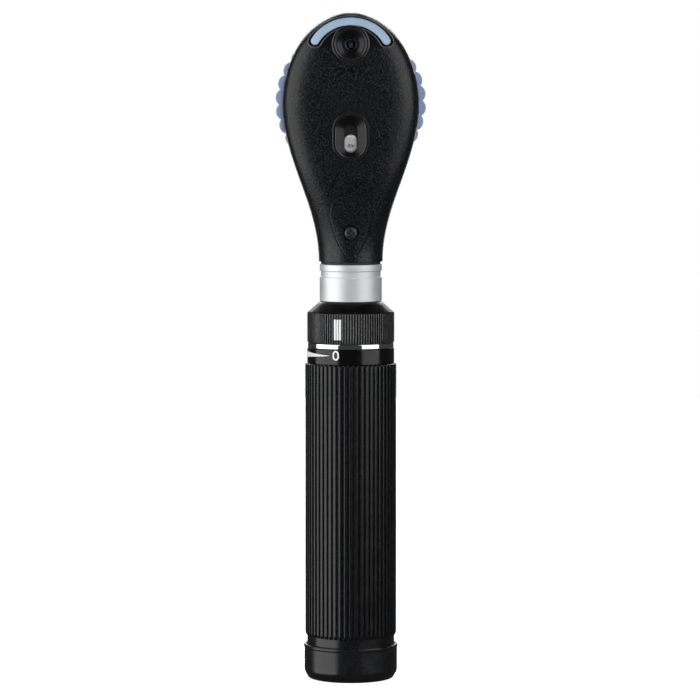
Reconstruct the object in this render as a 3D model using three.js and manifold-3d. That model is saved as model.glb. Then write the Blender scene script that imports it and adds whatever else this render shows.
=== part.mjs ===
// A hand-held ophthalmoscope: an examining head with a lens wheel, on a ribbed handle for two
// round C-size cells. Millimetres, +Z up along the handle. The patient's side of the head faces
// -Y and the examiner's side faces +Y. The origin is the centre of the flat end of the base cap.

import * as THREE from 'three';
import { mergeVertices } from 'three/addons/utils/BufferGeometryUtils.js';
import Module from 'manifold-3d';

const wasm = await Module();
wasm.setup();

// ---- driving dimensions -------------------------------------------------------------------

const fitGap = 0.3; // between pieces that meet or turn in each other
const seamGap = 0.1; // between the stacked rings of the handle

// Handle tube
const gripRadius = 15;
const gripRoot = 14.35;
const gripBottom = 14.2;
const gripTop = 104.2;
const ribCount = 54;
const tubeFoot = 2.8;
const tubeEndRadius = 14.35;
const tubeBore = 13.2;
const tubeShoulder = 103.2;
const tubeNeckRadius = 12.8;
const tubeNeckBore = 11.5;
const tubeNeckTop = 110.4;

// Cells
const cellRadius = 12.9;
const cellHeight = 49.3;
const cellNub = 1.5;
const lowerCellFoot = 5.4;

// Base cap
const capRadius = 15.3;
const capHeight = 11.4;
const capFloor = 1.5;
const capFootRadius = 13.9;

// Rings above the grip
const scaleRadius = 14.35;
const scaleTop = 109.2;
const chromeRadius = 14.2;
const chromeTop = 111.1;
const dimmerRadius = 14.33;
const dimmerEdge = 120.9;
const dimmerTop = 124.4;
const dimmerMouth = 8.3;
const fluteCount = 101;
const flutesInPatch = 27;
const fluteDepth = 0.25;
const ringBore = 13.1;

// Bayonet between handle and head
const spigotRadius = 7.9;
const spigotTop = 133.6;
const lugRadius = 9.1;
const lugBottom = 127;
const lugTop = 129;
const lugWidth = 20; // degrees
const twistTravel = 30; // degrees

// Neck of the head
const sleeveRadius = 10.2;
const sleeveBottom = 124.6;
const sleeveTop = 136.7;
const grooveBottom = 132.5;
const grooveTop = 134.5;
const grooveRadius = 9.8;

// Head shells
const headBottom = 137.6;
const headNeckRadius = 10.5;
const headWidest = 188.7;
const headDome = 30.3;
const headHalfWidth = 22.3;
const headHalfDepth = 12;
const headSquareness = 4.2;
const headWall = 1.8;
const shellSeam = 3.5;

// Lens wheel
const wheelCentre = 189.5;
const wheelPlane = 3.5;
const wheelThickness = 4.8;
const lobeCount = 30;
const lobePeak = 24.66;
const lobeRadius = 3.06;
const lobeHalfAngle = 53.6; // degrees of each lobe's arc either side of its peak
const lobePhase = 7.6; // degrees from +X to the first peak
const lensCircle = 18.9;
const lensHole = 1.6;
const wheelBore = 1.8;

// Front features
const sightHeight = wheelCentre + lensCircle;
const sightHole = 1.8;
const sightRadius = 6.1;
const browCentre = 202.9;
const browRadius = 13.4;
const browHalfWidth = 1.375;
const browSag = 0.62; // the crown of the arc is this much flatter than a circle
const windowHeight = 178.5;
const windowSize = [12.2, 16.25];
const windowMouth = [9.4, 14.4];
const windowSlot = [4.3, 9.4];
const slotHeight = 178;
const coverTopCentre = 153.5;
const coverTopRadius = 6.95;
const coverFootCentre = 142.2;
const coverFootRadius = 3;
const coverSideRadius = 30;
const coverScrewHeight = 147.1;

// Light path
const beamPlane = -3;
const mirrorSpan = [173.5, 178.4];
const apertureCentre = 3.6;
const apertureRadius = 9.6;
const apertureBottom = 161.5;
const apertureThickness = 1.8;
const apertureTop = apertureBottom + apertureThickness;
const apertureAxle = 1.1;

const turn = Math.PI * 2;
const front = -turn / 4;
const degrees = Math.PI / 180;

// ---- materials ----------------------------------------------------------------------------

function finish(color, roughness, metalness = 0) {
  return new THREE.MeshStandardMaterial({ color, roughness, metalness });
}

const gripBlack = finish(0x2a2b2d, 0.55);
const capBlack = finish(0x26272a, 0.5);
const shellBlack = finish(0x1c1d1f, 0.6);
const glossBlack = finish(0x0d0d0f, 0.12);
const knurlBlack = finish(0x1f2022, 0.5);
const innerPlastic = finish(0x2b2b2e, 0.7);
const satinSilver = finish(0xc9ccd0, 0.3, 1);
const chrome = finish(0xd9dbde, 0.08, 1);
const brass = finish(0xb89a55, 0.35, 1);
const steel = finish(0xa9adb2, 0.35, 1);
const cellJacket = finish(0x3d5a3f, 0.4);
const wheelBlue = finish(0x7d91ba, 0.45);
const stripBlue = finish(0xa3bee0, 0.5);
const glass = finish(0xdfe8ee, 0.05);
const rubber = finish(0x18181a, 0.85);
const silvered = finish(0xeef0f2, 0.05, 1);
const board = finish(0x4a3a24, 0.7);

// ---- solids -------------------------------------------------------------------------------

// A closed geometry as a solid, whichever way its faces were wound.
function solidFrom(geometry) {
  const bare = new THREE.BufferGeometry();
  bare.setAttribute('position', geometry.getAttribute('position'));
  bare.setIndex(geometry.getIndex());
  const merged = mergeVertices(bare, 1e-4);
  const places = merged.getAttribute('position');
  const corners = merged.getIndex().array;
  const [p, q, r] = [new THREE.Vector3(), new THREE.Vector3(), new THREE.Vector3()];
  const kept = [];
  let volume = 0;
  for (let i = 0; i < corners.length; i += 3) {
    const [a, b, c] = corners.slice(i, i + 3);
    if (a === b || b === c || c === a) continue;
    kept.push(a, b, c);
    p.fromBufferAttribute(places, a);
    q.fromBufferAttribute(places, b);
    r.fromBufferAttribute(places, c);
    volume += p.dot(q.cross(r));
  }
  if (volume < 0) kept.reverse();
  const mesh = { numProp: 3, vertProperties: places.array, triVerts: new Uint32Array(kept) };
  return new wasm.Manifold(new wasm.Mesh(mesh));
}

function geometryFrom(solid) {
  const { vertProperties, triVerts } = solid.getMesh();
  const indexed = new THREE.BufferGeometry();
  indexed.setAttribute('position', new THREE.BufferAttribute(vertProperties, 3));
  indexed.setIndex(new THREE.BufferAttribute(triVerts, 1));
  const flat = indexed.toNonIndexed();
  flat.computeVertexNormals();
  return flat;
}

// A profile's first point again at its end, unless both ends are on the axis.
function closedProfile(points) {
  const onAxis = points[0][0] === 0 && points.at(-1)[0] === 0;
  const loop = onAxis ? points : [...points, points[0]];
  return loop.map(([radius, along]) => new THREE.Vector2(radius, along));
}

// Turned about Z, from [radius, height] points.
function turned(points, segments = 32, x = 0, y = 0) {
  const lathe = new THREE.LatheGeometry(closedProfile(points), segments);
  return solidFrom(lathe.rotateX(turn / 4).translate(x, y, 0));
}

// Turned about an axis along Y, from [radius, y] points.
function turnedFacing(points, x, z, segments = 24) {
  const lathe = new THREE.LatheGeometry(closedProfile(points), segments);
  return solidFrom(lathe.translate(x, 0, z));
}

function rod(radius, bottom, top, segments = 16, x = 0, y = 0) {
  return turned([[0, bottom], [radius, bottom], [radius, top], [0, top]], segments, x, y);
}

function facingRod(radius, near, far, x, z, segments = 16) {
  return turnedFacing([[0, near], [radius, near], [radius, far], [0, far]], x, z, segments);
}

// An outline in x and y, drawn up from bottom to top.
function upright(outline, bottom, top) {
  const options = { depth: top - bottom, bevelEnabled: false };
  return solidFrom(new THREE.ExtrudeGeometry(outline, options).translate(0, 0, bottom));
}

// An outline in x and z, drawn from the near y to the far y.
function facing(outline, near, far) {
  const options = { depth: far - near, bevelEnabled: false };
  const drawn = new THREE.ExtrudeGeometry(outline, options);
  return solidFrom(drawn.rotateX(turn / 4).translate(0, far, 0));
}

function block(low, high) {
  const size = high.map((value, i) => value - low[i]);
  const middle = high.map((value, i) => (value + low[i]) / 2);
  return solidFrom(new THREE.BoxGeometry(...size).translate(...middle));
}

function polar(radius, angle, x = 0, y = 0) {
  return new THREE.Vector2(x + radius * Math.cos(angle), y + radius * Math.sin(angle));
}

function arc(x, y, radius, from, to, steps) {
  const points = [];
  for (let i = 0; i <= steps; i++) points.push(polar(radius, from + ((to - from) * i) / steps, x, y));
  return points;
}

function circle(x, y, radius, steps) {
  return arc(x, y, radius, 0, turn, steps).slice(0, -1);
}

function obround(width, height, centre) {
  const radius = width / 2;
  const offset = height / 2 - radius;
  const over = arc(0, centre + offset, radius, 0, turn / 2, 10);
  const under = arc(0, centre - offset, radius, turn / 2, turn, 10);
  return [...over, ...under];
}

function sector(inner, outer, from, to, steps) {
  const outside = arc(0, 0, outer, from * degrees, to * degrees, steps);
  const inside = arc(0, 0, inner, to * degrees, from * degrees, steps);
  return new THREE.Shape([...outside, ...inside]);
}

// A closed skin through rings of points: placeAt(level, angle) gives a point, and the ends are flat.
function lofted(levels, segments, placeAt) {
  const tube = new THREE.CylinderGeometry(1, 1, 1, segments, levels - 1);
  const points = tube.getAttribute('position');
  for (let i = 0; i < points.count; i++) {
    const level = Math.round((0.5 - points.getY(i)) * (levels - 1));
    const [x, y] = [points.getX(i), points.getZ(i)];
    if (Math.hypot(x, y) < 0.5) {
      const middle = placeAt(level, 0).add(placeAt(level, turn / 2)).multiplyScalar(0.5);
      points.setXYZ(i, middle.x, middle.y, middle.z);
    } else {
      const place = placeAt(level, Math.atan2(y, x));
      points.setXYZ(i, place.x, place.y, place.z);
    }
  }
  return solidFrom(tube);
}

class Helix extends THREE.Curve {
  constructor(radii, heights, turns, x = 0, y = 0) {
    super();
    Object.assign(this, { radii, heights, turns, x, y });
  }

  getPoint(t) {
    const radius = THREE.MathUtils.lerp(...this.radii, t);
    const height = THREE.MathUtils.lerp(...this.heights, t);
    const angle = this.turns * turn * t;
    const { x, y } = polar(radius, angle, this.x, this.y);
    return new THREE.Vector3(x, y, height);
  }
}

function wound(curve, wireRadius, stepsPerTurn) {
  const section = new THREE.Shape(circle(0, 0, wireRadius, 4));
  const steps = Math.round(curve.turns * stepsPerTurn);
  const options = { steps, extrudePath: curve, bevelEnabled: false };
  return solidFrom(new THREE.ExtrudeGeometry(section, options));
}

// ---- the assembly -------------------------------------------------------------------------

const ophthalmoscope = new THREE.Group();

function place(name, solid, material) {
  const mesh = new THREE.Mesh(geometryFrom(solid), material);
  mesh.name = name;
  ophthalmoscope.add(mesh);
}

// ---- handle -------------------------------------------------------------------------------

// The grip's ribs run its whole length, and are bevelled at both ends.
function gripTube() {
  const outline = [];
  const pitch = turn / ribCount;
  const corners = [[-0.42, gripRoot], [-0.28, gripRadius], [0.28, gripRadius], [0.42, gripRoot]];
  for (let rib = 0; rib < ribCount; rib++) {
    for (const [across, radius] of corners) {
      outline.push(polar(radius, (rib + across) * pitch + front));
    }
  }
  const ribbed = new THREE.Shape(outline);
  const envelope = turned([
    [0, gripBottom],
    [gripRoot, gripBottom],
    [gripRadius + 0.4, gripBottom + 1.2],
    [gripRadius + 0.4, gripTop - 0.6],
    [gripRoot + 0.2, gripTop],
    [0, gripTop],
  ]);
  const body = upright(ribbed, gripBottom, gripTop).intersect(envelope);
  const foot = rod(tubeEndRadius, tubeFoot, gripBottom + 1, 32);
  const neck = rod(tubeNeckRadius, gripTop - 1, tubeNeckTop, 32);
  const bore = turned([
    [0, tubeFoot - 1],
    [tubeBore, tubeFoot - 1],
    [tubeBore, tubeShoulder],
    [tubeNeckBore, tubeShoulder],
    [tubeNeckBore, tubeNeckTop + 1],
    [0, tubeNeckTop + 1],
  ]);
  return body.add(foot).add(neck).subtract(bore);
}

function cell(bottom) {
  const shoulder = bottom + cellHeight - cellNub;
  return turned([
    [0, bottom],
    [cellRadius - 0.8, bottom],
    [cellRadius, bottom + 0.8],
    [cellRadius, shoulder - 0.8],
    [cellRadius - 0.8, shoulder],
    [3.7, shoulder],
    [3.4, shoulder + cellNub],
    [0, shoulder + cellNub],
  ], 20);
}

const upperCellFoot = lowerCellFoot + cellHeight + fitGap;
const upperCellTop = upperCellFoot + cellHeight;

function baseCap() {
  const bore = tubeEndRadius + fitGap;
  return turned([
    [0, 0],
    [capFootRadius, 0],
    [capFootRadius + 1, 0.5],
    [capRadius, 2.2],
    [capRadius, capHeight - 1],
    [capRadius + 0.15, capHeight - 0.7],
    [capRadius + 0.15, capHeight - 0.2],
    [bore + 0.3, capHeight],
    [bore, capHeight - 0.3],
    [bore, capFloor],
    [0, capFloor],
  ]);
}

const plateBottom = capFloor + 0.2;
const plateTop = plateBottom + 0.5;
const springWire = 0.45;
const capSpringSpan = [plateTop + springWire + 0.1, lowerCellFoot - springWire - 0.2];
const capSpringPath = new Helix([9, 4], capSpringSpan, 2.5);

function scaleRing() {
  return turned([
    [ringBore, gripTop + seamGap],
    [scaleRadius - 0.15, gripTop + seamGap],
    [scaleRadius, gripTop + 0.3],
    [scaleRadius, scaleTop - 0.15],
    [scaleRadius - 0.15, scaleTop],
    [ringBore, scaleTop],
  ]);
}

function chromeRing() {
  return turned([
    [ringBore, scaleTop + seamGap],
    [chromeRadius, scaleTop + seamGap],
    [chromeRadius, chromeTop - 0.1],
    [ringBore, chromeTop - 0.1],
  ]);
}

// Fluted over the front and the back, with a smooth pad for the thumb at each side.
function brightnessRing() {
  const pitch = 360 / fluteCount;
  const patch = (flutesInPatch * pitch) / 2;
  const padSteps = 8;
  const outline = [];
  for (const middle of [-90, 90]) {
    for (let flute = 0; flute < flutesInPatch; flute++) {
      const valley = (middle - patch + flute * pitch) * degrees;
      const crest = valley + (pitch / 2) * degrees;
      outline.push(polar(dimmerRadius - fluteDepth, valley), polar(dimmerRadius, crest));
    }
    const padStart = (middle + patch) * degrees;
    const padEnd = (middle + 180 - patch) * degrees;
    outline.push(...arc(0, 0, dimmerRadius, padStart + 0.02, padEnd - 0.02, padSteps));
  }
  const bottom = chromeTop;
  const envelope = turned([
    [ringBore, bottom],
    [dimmerRadius + 0.2, bottom],
    [dimmerRadius + 0.2, dimmerEdge - 0.2],
    [sleeveRadius + 0.1, dimmerTop],
    [dimmerMouth, dimmerTop],
    [dimmerMouth, dimmerTop - 1.8],
    [ringBore, dimmerEdge - 2],
  ]);
  return upright(new THREE.Shape(outline), bottom - 1, dimmerTop + 1).intersect(envelope);
}

const flangeBottom = tubeNeckTop + fitGap;
const flangeTop = flangeBottom + 0.9;
const boardBottom = flangeTop + 0.2;
const boardTop = boardBottom + 1;

// The spigot with its two bayonet lugs, on a flange that closes the handle's neck.
function headFitting() {
  const body = turned([
    [3.6, flangeBottom],
    [tubeNeckRadius, flangeBottom],
    [tubeNeckRadius, flangeTop],
    [spigotRadius, flangeTop],
    [spigotRadius, spigotTop - 0.6],
    [spigotRadius - 0.6, spigotTop],
    [3.6, spigotTop],
  ], 24);
  const halfLug = lugWidth / 2;
  const lugs = [0, 180].map((at) =>
    upright(sector(spigotRadius - 0.5, lugRadius, at - halfLug, at + halfLug, 4), lugBottom, lugTop));
  return lugs.reduce((joined, lug) => joined.add(lug), body);
}

const contactBottom = upperCellTop + fitGap;

function batteryContact() {
  return turned([
    [0, contactBottom],
    [5, contactBottom],
    [5, contactBottom + 0.6],
    [1.2, contactBottom + 0.6],
    [1.2, contactBottom + 3],
    [0, contactBottom + 3],
  ], 20);
}

const insulatorBottom = contactBottom + 0.9;
const insulatorTop = 131;
const pinSpringFoot = contactBottom + 3.6;
const pinCollar = 121;
const pinTip = 134.7;

function contactInsulator() {
  return turned([
    [1.5, insulatorBottom],
    [tubeNeckBore - fitGap, insulatorBottom],
    [tubeNeckBore - fitGap, insulatorBottom + 2],
    [3.3, insulatorBottom + 2],
    [3.3, insulatorTop],
    [1.6, insulatorTop],
    [1.6, pinCollar + 1.8],
    [2.5, pinCollar + 1.8],
    [2.5, pinSpringFoot - 0.4],
    [1.5, pinSpringFoot - 0.4],
  ], 16);
}

function contactPin() {
  return turned([
    [0, pinCollar],
    [2.2, pinCollar],
    [2.2, pinCollar + 1.5],
    [1.25, pinCollar + 1.5],
    [1.25, pinTip - 0.7],
    [0.8, pinTip - 0.1],
    [0, pinTip],
  ], 16);
}

const pinSpringPath = new Helix([1.85, 1.85], [pinSpringFoot + 0.4, pinCollar - 0.5], 5);

// The resistive track is a horseshoe, open at the back.
function rheostatTrack() {
  return upright(sector(spigotRadius + 0.5, 12, 120, 420, 20), boardBottom, boardTop);
}

// A sprung arm from the ring's wall to the track.
function wiper() {
  const outline = new THREE.Shape([
    new THREE.Vector2(-1.2, -12.8),
    new THREE.Vector2(1.2, -12.8),
    new THREE.Vector2(0.6, -9.6),
    new THREE.Vector2(-0.6, -9.6),
  ]);
  return upright(outline, boardTop + 0.2, boardTop + 0.7);
}

place('grip_tube', gripTube(), gripBlack);
place('battery_lower', cell(lowerCellFoot), cellJacket);
place('battery_upper', cell(upperCellFoot), cellJacket);
place('base_cap', baseCap(), capBlack);
place('cap_contact_plate', rod(13.9, plateBottom, plateTop, 24), steel);
place('cap_spring', wound(capSpringPath, springWire, 10), steel);
place('scale_ring', scaleRing(), glossBlack);
place('chrome_ring', chromeRing(), chrome);
place('brightness_ring', brightnessRing(), knurlBlack);
place('head_fitting', headFitting(), steel);
place('battery_contact', batteryContact(), brass);
place('contact_insulator', contactInsulator(), innerPlastic);
place('contact_pin', contactPin(), brass);
place('contact_pin_spring', wound(pinSpringPath, 0.3, 8), steel);
place('rheostat_track', rheostatTrack(), board);
place('rheostat_wiper', wiper(), brass);

// ---- head: neck ---------------------------------------------------------------------------

const collarRadius = 8.4;
const collarTop = 139.8;

// Its bore is milled for the two lugs: each enters by a straight slot and turns into a pocket.
function neckSleeve() {
  const body = turned([
    [sleeveRadius, sleeveBottom],
    [sleeveRadius, grooveBottom],
    [grooveRadius, grooveBottom],
    [grooveRadius, grooveTop],
    [sleeveRadius, grooveTop],
    [sleeveRadius, sleeveTop],
    [collarRadius, sleeveTop],
    [collarRadius, collarTop],
    [6.4, collarTop],
    [6.4, spigotTop + 0.6],
    [spigotRadius + 0.4, spigotTop + 0.6],
    [spigotRadius + 0.4, sleeveBottom],
  ], 28);
  const halfLug = lugWidth / 2 + 1.5;
  const pocketRadius = lugRadius + fitGap;
  const cuts = [0, 180].flatMap((at) => {
    const entry = sector(6, pocketRadius, at - twistTravel - halfLug, at - twistTravel + halfLug, 3);
    const pocket = sector(6, pocketRadius, at - twistTravel - halfLug, at + halfLug, 6);
    return [
      upright(entry, sleeveBottom - 1, lugTop + fitGap),
      upright(pocket, lugBottom - fitGap, lugTop + fitGap),
    ];
  });
  return cuts.reduce((left, cut) => left.subtract(cut), body);
}

function neckSpacer() {
  return turned([
    [collarRadius + fitGap, sleeveTop + seamGap],
    [9.9, sleeveTop + seamGap],
    [9.9, headBottom - seamGap],
    [collarRadius + fitGap, headBottom - seamGap],
  ]);
}

place('neck_sleeve', neckSleeve(), satinSilver);
place('neck_spacer', neckSpacer(), innerPlastic);

// ---- head: shells -------------------------------------------------------------------------

const domeLevels = 7;
const tailLevels = 8;
const tail = new THREE.CubicBezierCurve(
  new THREE.Vector2(headHalfWidth, headWidest),
  new THREE.Vector2(headHalfWidth, headWidest - 17.7),
  new THREE.Vector2(headNeckRadius, headBottom + 18.3),
  new THREE.Vector2(headNeckRadius, headBottom),
);

function powered(value, power) {
  return Math.sign(value) * Math.abs(value) ** power;
}

// The head's outside, moved in by inset: half an oval above the widest line, and a smooth taper
// into the round neck below it. The section is a rounded rectangle that turns into a circle.
function headForm(inset, bottom = headBottom, segments = 32) {
  const levels = domeLevels + tailLevels + 2;
  return lofted(levels, segments, (level, angle) => {
    let width = headHalfWidth - inset;
    let depth = headHalfDepth - inset;
    let squareness = headSquareness;
    let height = bottom;
    if (level <= domeLevels) {
      const rise = (level / domeLevels) * (turn / 4);
      width *= Math.sin(rise);
      depth *= Math.sin(rise) ** 0.32;
      height = headWidest + (headDome - inset) * Math.cos(rise);
    } else {
      const along = Math.min(1, (level - domeLevels) / tailLevels);
      const edge = tail.getPoint(along);
      const roundness = 1 - THREE.MathUtils.smoothstep(edge.y, 140, 170);
      width = edge.x - inset;
      depth = THREE.MathUtils.lerp(headHalfDepth, headNeckRadius, roundness) - inset;
      squareness = THREE.MathUtils.lerp(headSquareness, 2, roundness);
      if (along < 1) height = edge.y;
      else if (level < levels - 1) height = headBottom;
    }
    const x = width * powered(Math.cos(angle), 2 / squareness);
    const y = depth * powered(Math.sin(angle), 2 / squareness);
    return new THREE.Vector3(x, y, height);
  });
}

const outside = headForm(0, headBottom);
const inside = headForm(headWall, headBottom - 1, 24);
const cavityRadius = lobePeak + 0.5;
const cavityHalf = wheelThickness / 2 + 0.4;
const farOut = 30;

// A plate that lies in the front wall and follows its outside.
function inlay(outline, depth, proud) {
  const prism = facing(new THREE.Shape(outline), -farOut, 0);
  return prism.intersect(headForm(-proud)).subtract(headForm(depth, headBottom - 1));
}

function browBand(grow) {
  const half = browHalfWidth + grow;
  const [from, to] = [30 * degrees, 150 * degrees];
  const end = (angle) => polar(browRadius, angle, 0, browCentre).toArray();
  const band = [
    ...arc(0, browCentre, browRadius + half, from, to, 14),
    ...arc(...end(to), half, to, to + turn / 2, 5).slice(1, -1),
    ...arc(0, browCentre, browRadius - half, to, from, 14),
    ...arc(...end(from), half, from + turn / 2, from + turn, 5).slice(1, -1),
  ];
  return band.map(({ x, y }) => {
    const rise = Math.max(0, y - browCentre) / (browRadius + browHalfWidth);
    return new THREE.Vector2(x, y - browSag * rise ** 2);
  });
}

// An egg with its point down: two circles joined by bulging arcs that touch them both.
function coverOutline(grow) {
  const toTop = coverSideRadius - coverTopRadius;
  const toFoot = coverSideRadius - coverFootRadius;
  const apart = coverTopCentre - coverFootCentre;
  const rise = (toFoot ** 2 - toTop ** 2 + apart ** 2) / (2 * apart);
  const side = Math.sqrt(toFoot ** 2 - rise ** 2);
  const height = coverFootCentre + rise;
  const upper = Math.atan2(height - coverTopCentre, side);
  const lower = Math.atan2(rise, side);
  const half = turn / 2;
  return [
    ...arc(0, coverTopCentre, coverTopRadius + grow, -upper, half + upper, 14),
    ...arc(side, height, coverSideRadius + grow, half + upper, half + lower, 3).slice(1, -1),
    ...arc(0, coverFootCentre, coverFootRadius + grow, half + lower, turn - lower, 6),
    ...arc(-side, height, coverSideRadius + grow, -lower, -upper, 3).slice(1, -1),
  ];
}

const bossRadius = 2;
const bossReach = 8.2;
const bossHeight = 156;
const screwRadius = 0.9;
const screwSeat = 7.2;
const screwSides = [['left', -1], ['right', 1]];
const axleRadius = 1.5;
const axlePostRadius = 2.7;
const axleEnd = 9.6;
const eyepieceRadius = 4.1;
const dioptreRadius = 2.6;

function shells() {
  const wheelFront = wheelPlane - cavityHalf;
  const wheelBack = wheelPlane + cavityHalf;
  const wall = outside.subtract(inside);
  const posts = screwSides.map(([, side]) =>
    facingRod(bossRadius, -farOut, farOut, side * bossReach, bossHeight, 14));
  posts.push(facingRod(axlePostRadius, -farOut, farOut, 0, wheelCentre, 16));
  const filled = posts.reduce((joined, post) => joined.add(post.intersect(outside)), wall);
  const windowWell = obround(windowSize[0] + 0.4, windowSize[1] + 0.4, windowHeight);
  const apertureWell = apertureRadius + 0.4;
  const holes = [
    facingRod(cavityRadius, wheelFront, wheelBack, 0, wheelCentre, 40),
    facingRod(sightRadius + 0.2, -farOut, -5, 0, sightHeight, 28),
    facing(new THREE.Shape(windowWell), -farOut, -5),
    facing(new THREE.Shape(coverOutline(0.2)), -farOut, -5),
    facingRod(eyepieceRadius + fitGap, 6, farOut, 0, sightHeight, 24),
    facingRod(dioptreRadius + fitGap, 6, farOut, 0, wheelCentre - lensCircle, 20),
    rod(apertureWell, apertureBottom - 0.4, apertureTop + 0.4, 36, 0, apertureCentre),
    facingRod(axleRadius + 0.1, -axleEnd - 0.1, axleEnd + 0.1, 0, wheelCentre, 16),
    ...screwSides.flatMap(([, side]) => [
      facingRod(screwRadius + 0.2, -4, farOut, side * bossReach, bossHeight, 12),
      facingRod(bossRadius - 0.1, screwSeat, farOut, side * bossReach, bossHeight, 12),
    ]),
  ];
  const opened = holes.reduce((left, hole) => left.subtract(hole), filled);
  const channel = facing(new THREE.Shape(browBand(0.3)), -farOut, 0).subtract(headForm(1.3));
  const nearHalf = block([-farOut, -farOut, 0], [farOut, shellSeam - 0.05, 230]);
  const farHalf = block([-farOut, shellSeam + 0.05, 0], [farOut, farOut, 230]);
  return {
    near: opened.intersect(nearHalf).subtract(channel),
    far: opened.intersect(farHalf),
  };
}

const shell = shells();
place('front_shell', shell.near, shellBlack);
place('rear_shell', shell.far, shellBlack);
place('brow_strip', inlay(browBand(0), 1, 0), stripBlue);

// ---- head: front features -----------------------------------------------------------------

// A plug with a conical mouth round the sight hole.
function sightBezel() {
  return turnedFacing([
    [sightHole, -7.4],
    [sightHole, -8.9],
    [2.3, -9.1],
    [4.4, -11.1],
    [5.2, -11.6],
    [5.9, -11.4],
    [sightRadius, -11],
    [sightRadius, -7.4],
  ], 0, sightHeight, 28);
}

const bezelFront = -12.4;
const bezelBack = -5.8;
const funnelBottom = -9.9;

function windowBezel() {
  const outline = new THREE.Shape(obround(...windowSize, windowHeight));
  const frame = facing(outline, bezelFront, bezelBack);
  const rings = [
    { size: windowMouth, y: bezelFront - 0.1, centre: windowHeight },
    { size: windowMouth, y: bezelFront + 0.9, centre: windowHeight },
    { size: windowSlot, y: funnelBottom, centre: slotHeight },
    { size: windowSlot, y: bezelBack + 0.1, centre: slotHeight },
  ];
  const funnel = lofted(rings.length, 28, (level, angle) => {
    const { size, y, centre } = rings[level];
    const radius = size[0] / 2;
    const lift = Math.sign(Math.round(Math.sin(angle) * 1e6)) * (size[1] / 2 - radius);
    return new THREE.Vector3(radius * Math.cos(angle), y, centre + lift + radius * Math.sin(angle));
  });
  return frame.subtract(funnel);
}

// A slab that lies along the mirror's slope, between two distances behind its face.
function sloped(width, length, from, to) {
  const slab = new THREE.BoxGeometry(width, to - from, length);
  slab.translate(0, (from + to) / 2, 0);
  slab.rotateX(turn / 8);
  return solidFrom(slab.translate(0, beamPlane, (mirrorSpan[0] + mirrorSpan[1]) / 2));
}

const mirrorThickness = 0.8;

// A slip of silvered glass that turns the beam out of the window.
function mirror() {
  return sloped(4.1, (mirrorSpan[1] - mirrorSpan[0]) * Math.SQRT2, 0, mirrorThickness);
}

// The block that the mirror is cemented to fills the light slot above it.
function mirrorMount() {
  const body = block([-2.6, -5.5, mirrorSpan[0]], [2.6, 0.2, 186]);
  return body.subtract(sloped(10, 40, -20, mirrorThickness + seamGap));
}

function neckCover() {
  const hole = facingRod(1.2, -farOut, 0, 0, coverScrewHeight, 14);
  const recess = facingRod(2.5, -farOut, -9.7, 0, coverScrewHeight, 20);
  return inlay(coverOutline(0), 1.6, 0).subtract(hole).subtract(recess);
}

function coverScrew() {
  const body = turnedFacing([
    [0, -10.5],
    [1.6, -10.5],
    [2.1, -10.2],
    [2.1, -9.9],
    [0.95, -9.9],
    [0.95, -6.4],
    [0, -6.4],
  ], 0, coverScrewHeight, 16);
  const [reach, half, floor] = [1.2, 0.25, -10.1];
  const z = coverScrewHeight;
  const across = block([-reach, -11, z - half], [reach, floor, z + half]);
  const down = block([-half, -11, z - reach], [half, floor, z + reach]);
  return body.subtract(across).subtract(down);
}

place('sight_bezel', sightBezel(), glossBlack);
place('window_bezel', windowBezel(), glossBlack);
place('mirror', mirror(), silvered);
place('mirror_mount', mirrorMount(), innerPlastic);
place('neck_cover', neckCover(), shellBlack);
place('neck_cover_screw', coverScrew(), steel);

// ---- head: lens wheel ---------------------------------------------------------------------

function lensWheel() {
  const outline = [];
  const lobeCentre = lobePeak - lobeRadius;
  const half = lobeHalfAngle * degrees;
  for (let lobe = 0; lobe < lobeCount; lobe++) {
    const angle = lobePhase * degrees + (lobe * turn) / lobeCount;
    const { x, y } = polar(lobeCentre, angle, 0, wheelCentre);
    outline.push(...arc(x, y, lobeRadius, angle - half, angle + half, 4).slice(0, -1));
  }
  const shape = new THREE.Shape(outline);
  shape.holes.push(new THREE.Path(circle(0, wheelCentre, wheelBore, 16)));
  for (let lens = 0; lens < lobeCount; lens++) {
    const angle = turn / 4 + (lens * turn) / lobeCount;
    const { x, y } = polar(lensCircle, angle, 0, wheelCentre);
    shape.holes.push(new THREE.Path(circle(x, y, lensHole, 6)));
  }
  return facing(shape, wheelPlane - wheelThickness / 2, wheelPlane + wheelThickness / 2);
}

// A leaf that presses a rounded nose against the wheel's back.
function detentLeaf() {
  const outline = new THREE.Shape([
    new THREE.Vector2(-6, 7.6),
    new THREE.Vector2(-1.4, 7.2),
    new THREE.Vector2(-0.5, 6.3),
    new THREE.Vector2(0.5, 6.3),
    new THREE.Vector2(1.4, 7.2),
    new THREE.Vector2(6, 7.6),
    new THREE.Vector2(6, 8),
    new THREE.Vector2(-6, 8),
  ]);
  return upright(outline, 198, 201);
}

place('lens_wheel', lensWheel(), wheelBlue);
place('wheel_axle', facingRod(axleRadius, -axleEnd, axleEnd, 0, wheelCentre), steel);
place('detent_leaf', detentLeaf(), steel);

// ---- head: lamp and optics ----------------------------------------------------------------

const holderRadius = 8.1;
const holderBottom = collarTop + fitGap;
const holderTop = 152;
const lampSeat = 143;
const lampBaseRadius = 2.6;
const lampBaseTop = 150;
const chassisBottom = 158.8;
const chassisTop = 160.4;
const tubeBottom = 164.2;
const tubeTop = 169.8;

function lampHolder() {
  const body = rod(holderRadius, holderBottom, holderTop, 28);
  const seat = rod(lampBaseRadius + fitGap, lampSeat - 0.2, holderTop + 1, 20, 0, beamPlane);
  const feed = rod(1.3, holderBottom - 1, lampSeat, 12);
  const thread = facingRod(1.15, -farOut, -6.2, 0, coverScrewHeight, 12);
  return body.subtract(seat).subtract(feed).subtract(thread);
}

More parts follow.
